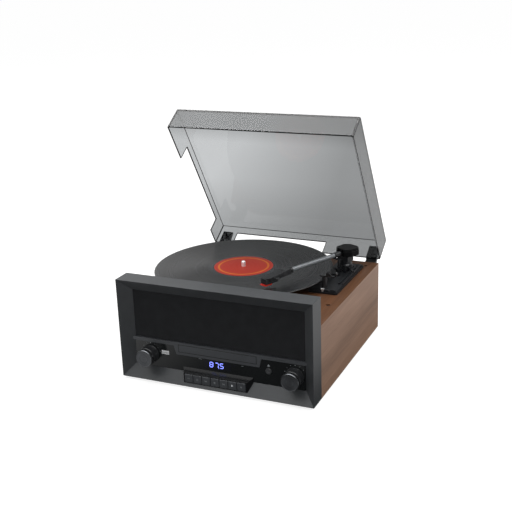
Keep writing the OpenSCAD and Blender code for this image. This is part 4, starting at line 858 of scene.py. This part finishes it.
class MUSIC_OT_deck(bpy.types.Operator):
    """Platter, mat, record with its label, spindle, belt and motor"""
    bl_idname = "music.deck"
    bl_label = "Record deck"

    def execute(self, context):
        deck = context.scene.music_deck
        z_top = (RECORD_HIGH.z - RECORD_LOW.z) / MM
        r = RECORD_R / MM
        label = deck.label_r / MM
        # record, as a closed ring: bead, grooved field, smooth ring and raised label area
        profile = [(3.66, 0.0), (label + 2, 0.0), (label + 4, 0.16), (r - 5, 0.16), (r - 3.6, 0.02),
                   (r - 0.9, 0.0), (r - 0.3, 0.18), (r, 0.55), (r, 0.95), (r - 0.3, 1.35), (r - 0.9, 1.55),
                   (r - 3.6, 1.58), (r - 5, 1.42), (label + 12, 1.42), (label + 6, 1.44), (label + 3, 1.5),
                   (label + 0.6, 1.58), (3.66, 1.58), (3.66, 0.0)]
        disc = turned(profile, 288, solid=False)
        disc = placed(disc, Vector((RECORD_CENTRE.x, RECORD_CENTRE.y, RECORD_LOW.z)))
        settle(disc, "pressed_record", "turntable", [record_finish()],
               ("record",), smooth=40)
        paper = turned([(3.66, 1.56), (label, 1.56), (label, z_top - 0.03), (label - 0.25, z_top),
                        (3.66, z_top), (3.66, 1.56)], 160, solid=False)
        paper = placed(paper, Vector((RECORD_CENTRE.x, RECORD_CENTRE.y, RECORD_LOW.z)))
        settle(paper, "paper_label", "turntable", [label_finish()], smooth=40)
        axis = RECORD_CENTRE
        steel = turned_finish("polished_spindle", tone("f2f3f4"), axis, (0, 0, 1),
                              roughness=0.35, metallic=0.4,
                              stretch=0.4, pitch=0.3, depth=0.05)[0]
        soft_piece("spindle", "spindle_pin", [steel], 0.15 * MM)
        rim = turned_finish("platter_rim", tone("2c2d2f"), axis, (0, 0, 1), roughness=0.35, metallic=0.0,
                            stretch=0.3, pitch=0.4, depth=0.1)[0]
        soft_piece("platter", "moulded_platter", [rim], 0.25 * MM)
        felt = moulded("pressed felt", "18181a", 0.95, 0.35, 0.9, 0.04)
        soft_piece("slip_mat", "felt_mat", [felt], 0.4 * MM, 3)
        rubber = moulded("ground rubber", "121212", 0.6, 0.5, 0.2)
        soft_piece("drive_belt", "flat_belt", [rubber], 0.15 * MM, angle=50)
        brass = moulded("turned brass", "c49a54", 0.25, 0.8, 0.05, 0.06, Metallic=1.0)
        soft_piece("motor_pulley", "brass_pulley", [brass], 0.15 * MM)
        soft_piece("platter_bearing", "bearing_bush", [brass], 0.2 * MM)
        steel = stamped_steel()
        soft_piece("platter_motor", "deck_motor", [steel], 0.3 * MM)
        return {"FINISHED"}


class MUSIC_OT_tonearm(bpy.types.Operator):
    """Tonearm with its base, rest, clip, lift, headshell and counterweight"""
    bl_idname = "music.tonearm"
    bl_label = "Tonearm"

    def execute(self, context):
        deck = context.scene.music_deck
        black = moulded("satin arm base", deck.deck_black, 0.38, **{"Specular IOR Level": 0.12})
        gloss = moulded("glossy arm plastic", "1e1f21", 0.25, 0.6, 0.06)
        soft_piece("tonearm_base", "stepped_arm_base", [black], 0.45 * MM, 3)
        soft_piece("arm_rest", "forked_arm_rest", [gloss], 0.3 * MM)
        soft_piece("arm_clip", "swinging_clip", [gloss], 0.2 * MM)
        soft_piece("tonearm_gimbal", "turning_yoke", [gloss], 0.35 * MM, 3)
        silver = moulded("brushed tube", deck.arm_silver, 0.5, 0.5, 0.1, 0.08, Metallic=0.6)
        tube = softened("tonearm_tube", 0.25 * MM, 3)
        ahead = Vector((math.cos(math.radians(ARM_DEGREES)), math.sin(math.radians(ARM_DEGREES)), 0))
        for polygon in tube.data.polygons:
            along = (polygon.center - at(*PIVOT_PLACE)).dot(ahead) / MM
            polygon.material_index = 0 if BRIGHT_FROM < along < BRIGHT_TO else 1
        settle(tube, "silver_arm_tube", NODES["tonearm_tube"]["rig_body"], [silver, gloss],
               ("tonearm_tube",), smooth=0)
        soft_piece("headshell", "tapered_headshell", [gloss], 0.45 * MM, 3)
        body = moulded("pickup plastic", "262729", 0.35, 0.5, 0.1)
        soft_piece("cartridge", "pickup_body", [body], 0.3 * MM, 3)
        red = moulded("stylus plastic", deck.stylus_red, 0.3, 0.6, 0.05)
        soft_piece("stylus", "stylus_carrier", [red], 0.2 * MM)
        weight = moulded("weight lacquer", "0a0b0c", 0.3, 0.8, 0.05, **{"Specular IOR Level": 0.05})
        soft_piece("counterweight", "faceted_counterweight", [weight], 0.5 * MM, 3)
        soft_piece("cue_lever", "lift_lever", [gloss], 0.2 * MM)
        soft_piece("cue_platform", "curved_lift", [gloss], 0.3 * MM)
        paint = moulded("silver paint", "c4c6c8", 0.28, 0.6, 0.05, 0.06, Metallic=0.7)
        soft_piece("speed_switch", "speed_slider", [paint], 0.35 * MM, 3)
        return {"FINISHED"}


# a face whose normal lies further from every axis of the shut cover than this is part of a rounding
ROUNDED = 0.975


def on_dark_edge(place, normal):
    """Whether a face of the open cover is a rounded corner, or lies inside the thickness of a wall."""
    hinge = at(0, HINGE_BACK, HINGE_UP)
    turn = Matrix.Rotation(math.radians(LID_OPEN), 3, "X")
    if max(abs(part) for part in turn @ normal) < ROUNDED:
        return True
    shut = turn @ (place - hinge) + hinge
    x = abs(shut.x - FRONT_X) / MM
    y = (shut.y - FRONT_LOW.y) / MM
    z = (shut.z - FRONT_LOW.z) / MM
    inside = LID_HALF - LID_WALL + 0.3 < x < LID_HALF - 0.3
    inside = inside or LID_FRONT + 0.3 < y < LID_FRONT + LID_WALL - 0.3
    inside = inside or LID_BACK - LID_WALL + 0.3 < y < LID_BACK - 0.3
    return inside and z < LID_TOP - 2 * LID_WALL


class MUSIC_OT_cover(bpy.types.Operator):
    """Smoked cover with dark cut edges, and its hinges"""
    bl_idname = "music.cover"
    bl_label = "Dust cover"

    def execute(self, context):
        cover = context.scene.music_cover
        smoke = smoked_finish()
        dark = moulded("cover edge", cover.rim, 0.1, 2.0, 0.0, 0.02)
        piece = softened("dust_cover", cover.edge, 3)
        for polygon in piece.data.polygons:
            polygon.material_index = 1 if on_dark_edge(polygon.center, polygon.normal) else 0
        settle(piece, "smoked_cover", "lid", [smoke, dark], ("dust_cover",), smooth=0)
        hinge = moulded("moulded hinge", "1a1b1c", 0.4, 0.5, 0.15)
        soft_piece("hinge_arms", "cover_hinge_arms", [hinge], 0.6 * MM, 3)
        soft_piece("hinge_brackets", "hinge_brackets_with_pins", [hinge], 0.4 * MM)
        return {"FINISHED"}


class MUSIC_OT_rear(bpy.types.Operator):
    """Rear sockets, mains inlet and transformer"""
    bl_idname = "music.rear"
    bl_label = "Rear side"

    def execute(self, context):
        plated = moulded("plated collar", "cfccc0", 0.25, 0.8, 0.04, 0.06, Metallic=0.9)
        black = moulded("socket_black", context.scene.music_deck.deck_black, 0.42)
        soft_piece("rear_sockets", "line_sockets_block", [plated], 0.25 * MM)
        soft_piece("mains_inlet", "two_pin_inlet", [black], 0.3 * MM)
        core = moulded("transformer core", "8a8272", 0.5, 0.6, 0.3)
        soft_piece("mains_transformer", "transformer_block", [core], 0.5 * MM)
        return {"FINISHED"}


# ---------------------------------------------------------------- stage


CAMERA_PLACE = (0.59599, -1.31114, 0.64426)
CAMERA_RIGHT = (0.91532, 0.40145, -0.03204)
CAMERA_AHEAD = (-0.39026, 0.86454, -0.31666)
FOCAL_PIXELS = 909.85
PHOTO_PIXELS = 512


class MUSIC_OT_stage(bpy.types.Operator):
    """Pale floor, soft lamps, white surroundings and the camera"""
    bl_idname = "music.stage"
    bl_label = "Stage"

    def execute(self, context):
        stage = context.scene.music_stage
        deselect()
        bpy.ops.mesh.primitive_plane_add(size=stage.floor_size, location=(0, 0, CAD_BOX[0][2]))
        floor = context.object
        floor.name = "pale_floor"
        material = bpy.data.materials.new("pale_floor")
        material.use_nodes = True
        tree = material.node_tree
        tree.nodes.clear()
        out = add(tree, "OutputMaterial")
        seen = add(tree, "LightPath")
        # what the eye sees, straight or through the cover: white with a soft contact shadow
        soft = add(tree, "BsdfDiffuse", {"Color": (0.5, 0.5, 0.5, 1)})
        glow = add(tree, "Emission", {"Color": (1, 1, 1, 1), "Strength": 0.78})
        white = add(tree, "AddShader", {0: soft, 1: glow})
        # what glossy faces mirror: painted light on the floor, pale on the left and at the back, and dark
        # in front as a painted shadow of the case
        place = add(tree, "TexCoord").outputs["Object"]
        split = add(tree, "SeparateXYZ", {0: place})
        left = ramp(tree, split.outputs["X"], -0.26, 0.0, 0.9, 0.04)
        back = ramp(tree, split.outputs["Y"], 0.1, 0.5, 0.0, 1.0)
        right = ramp(tree, split.outputs["X"], 0.17, 0.3, 0.0, 0.9)
        sides = maths(tree, "MAXIMUM", left, right)
        pale = maths(tree, "MAXIMUM", sides, back)
        mirrored = add(tree, "Emission", {"Color": (1, 1, 1, 1), "Strength": pale})
        plain = add(tree, "BsdfDiffuse", {"Color": (0.35, 0.35, 0.35, 1)})
        unlit = add(tree, "MixShader", {0: seen.outputs["Is Glossy Ray"], 1: plain,
                                                  2: mirrored})
        # what the cover lets through: painted light and shade on the floor, paler on the left, a little
        # greyer near the case and far behind it
        slant = add(tree, "VectorMath", {1: (1.0, 0.26, 0.0),
                                                   0: place}, operation="DOT_PRODUCT")
        strength = ramp(tree, slant.outputs["Value"], -0.353, 0.057, 1.75, 0.95, "LINEAR")
        for near, far, low, high in ((0.7, 1.1, 0.82, 1.0), (1.6, 1.95, 1.0, 0.62)):
            fade = ramp(tree, split.outputs["Y"], near, far, low, high, "LINEAR")
            product = maths(tree, "MULTIPLY", strength, fade)
            strength = product
        painted_floor_light = add(tree, "Emission", {"Color": (1, 1, 1, 1), "Strength": strength})
        through = add(tree, "MixShader", {0: seen.outputs["Is Transmission Ray"], 1: unlit,
                                                    2: painted_floor_light})
        choice = add(tree, "MixShader", {0: seen.outputs["Is Camera Ray"], 1: through,
                                                   2: white})
        feed(tree, out, {0: choice})
        floor.data.materials.append(material)
        self.lights(context, stage)
        self.camera(context)
        return {"FINISHED"}

    def lights(self, context, stage):
        world = bpy.data.worlds.new("white_surroundings")
        context.scene.world = world
        world.use_nodes = True
        tree = world.node_tree
        tree.nodes.clear()
        out = add(tree, "OutputWorld")
        seen = add(tree, "LightPath")
        place = add(tree, "TexCoord").outputs["Generated"]
        split = add(tree, "SeparateXYZ", {0: place})
        fade = ramp(tree, split.outputs["X"], -0.62, -0.28, 0.9, 0.2)
        above = ramp(tree, split.outputs["Z"], 0.55, 0.95, 0.0, 4.8)
        mirrored = maths(tree, "ADD", fade, above)
        strength = add(tree, "Mix", {"A": stage.ambient,
                                               "Factor": seen.outputs["Is Glossy Ray"],
                                               "B": mirrored}, data_type="FLOAT")
        around = add(tree, "Background", {"Color": (1, 1, 1, 1), "Strength": strength})
        white = add(tree, "Background", {"Color": (1, 1, 1, 1), "Strength": 1.0})
        direct = add(tree, "Math", operation="MAXIMUM")
        choice = add(tree, "MixShader")
        feed(tree, direct, {0: seen.outputs["Is Camera Ray"], 1: seen.outputs["Is Transmission Ray"]})
        feed(tree, choice, {0: direct, 1: around, 2: white})
        feed(tree, out, {0: choice})
        for name, place, size, power in (("right_softbox", (1.0, 0.7, 1.15), 1.1, 13),
                                         ("top_softbox", (-0.55, 0.25, 2.2), 2.2, 22),
                                         ("front_fill", (0.4, -2.3, 0.9), 2.4, 24)):
            bpy.ops.object.light_add(type="AREA", location=place)
            lamp = context.object
            lamp.name = name
            lamp.data.size = size
            lamp.data.energy = power
            aim = Vector((0, 0, 0.08)) - Vector(place)
            lamp.rotation_euler = aim.to_track_quat("-Z", "Y").to_euler()

    def camera(self, context):
        bpy.ops.object.camera_add(location=CAMERA_PLACE)
        camera = context.object
        right = Vector(CAMERA_RIGHT).normalized()
        ahead = Vector(CAMERA_AHEAD).normalized()
        up = right.cross(ahead)
        turn = Matrix((right, up, -ahead)).transposed().to_4x4()
        turn.translation = Vector(CAMERA_PLACE)
        camera.matrix_world = turn
        camera.data.sensor_width = 36
        camera.data.lens = FOCAL_PIXELS / PHOTO_PIXELS * 36
        camera.data.clip_start = 0.01
        camera.data.clip_end = 100
        context.scene.camera = camera
        context.scene.view_settings.view_transform = "Standard"


class MUSIC_PT_panel(bpy.types.Panel):
    bl_label = "Music Centre"
    bl_idname = "MUSIC_PT_panel"
    bl_space_type = "VIEW_3D"
    bl_region_type = "UI"
    bl_category = "Music Centre"

    def draw(self, context):
        for operator in OPERATORS:
            self.layout.operator(operator.bl_idname)
        for settings in SETTINGS.values():
            box = self.layout.box()
            owner = getattr(context.scene, settings)
            for name in owner.bl_rna.properties.keys():
                if name not in ("rna_type", "name"):
                    box.prop(owner, name)


SETTINGS = {CaseSettings: "music_case", ControlSettings: "music_controls", DeckSettings: "music_deck",
            CoverSettings: "music_cover", StageSettings: "music_stage"}
OPERATORS = (MUSIC_OT_case, MUSIC_OT_front, MUSIC_OT_panel, MUSIC_OT_keys, MUSIC_OT_knobs,
             MUSIC_OT_disc_player, MUSIC_OT_deck, MUSIC_OT_tonearm, MUSIC_OT_cover, MUSIC_OT_rear,
             MUSIC_OT_stage)


def register():
    for settings, name in SETTINGS.items():
        bpy.utils.register_class(settings)
        setattr(bpy.types.Scene, name, bpy.props.PointerProperty(type=settings))
    for operator in OPERATORS:
        bpy.utils.register_class(operator)
    bpy.utils.register_class(MUSIC_PT_panel)


def unregister():
    bpy.utils.unregister_class(MUSIC_PT_panel)
    for operator in reversed(OPERATORS):
        bpy.utils.unregister_class(operator)
    for settings, name in SETTINGS.items():
        delattr(bpy.types.Scene, name)
        bpy.utils.unregister_class(settings)


def main():
    register()
    for operator in OPERATORS:
        group, name = operator.bl_idname.split(".")
        getattr(getattr(bpy.ops, group), name)()
    bpy.context.view_layer.update()


if __name__ == "__main__":
    main()
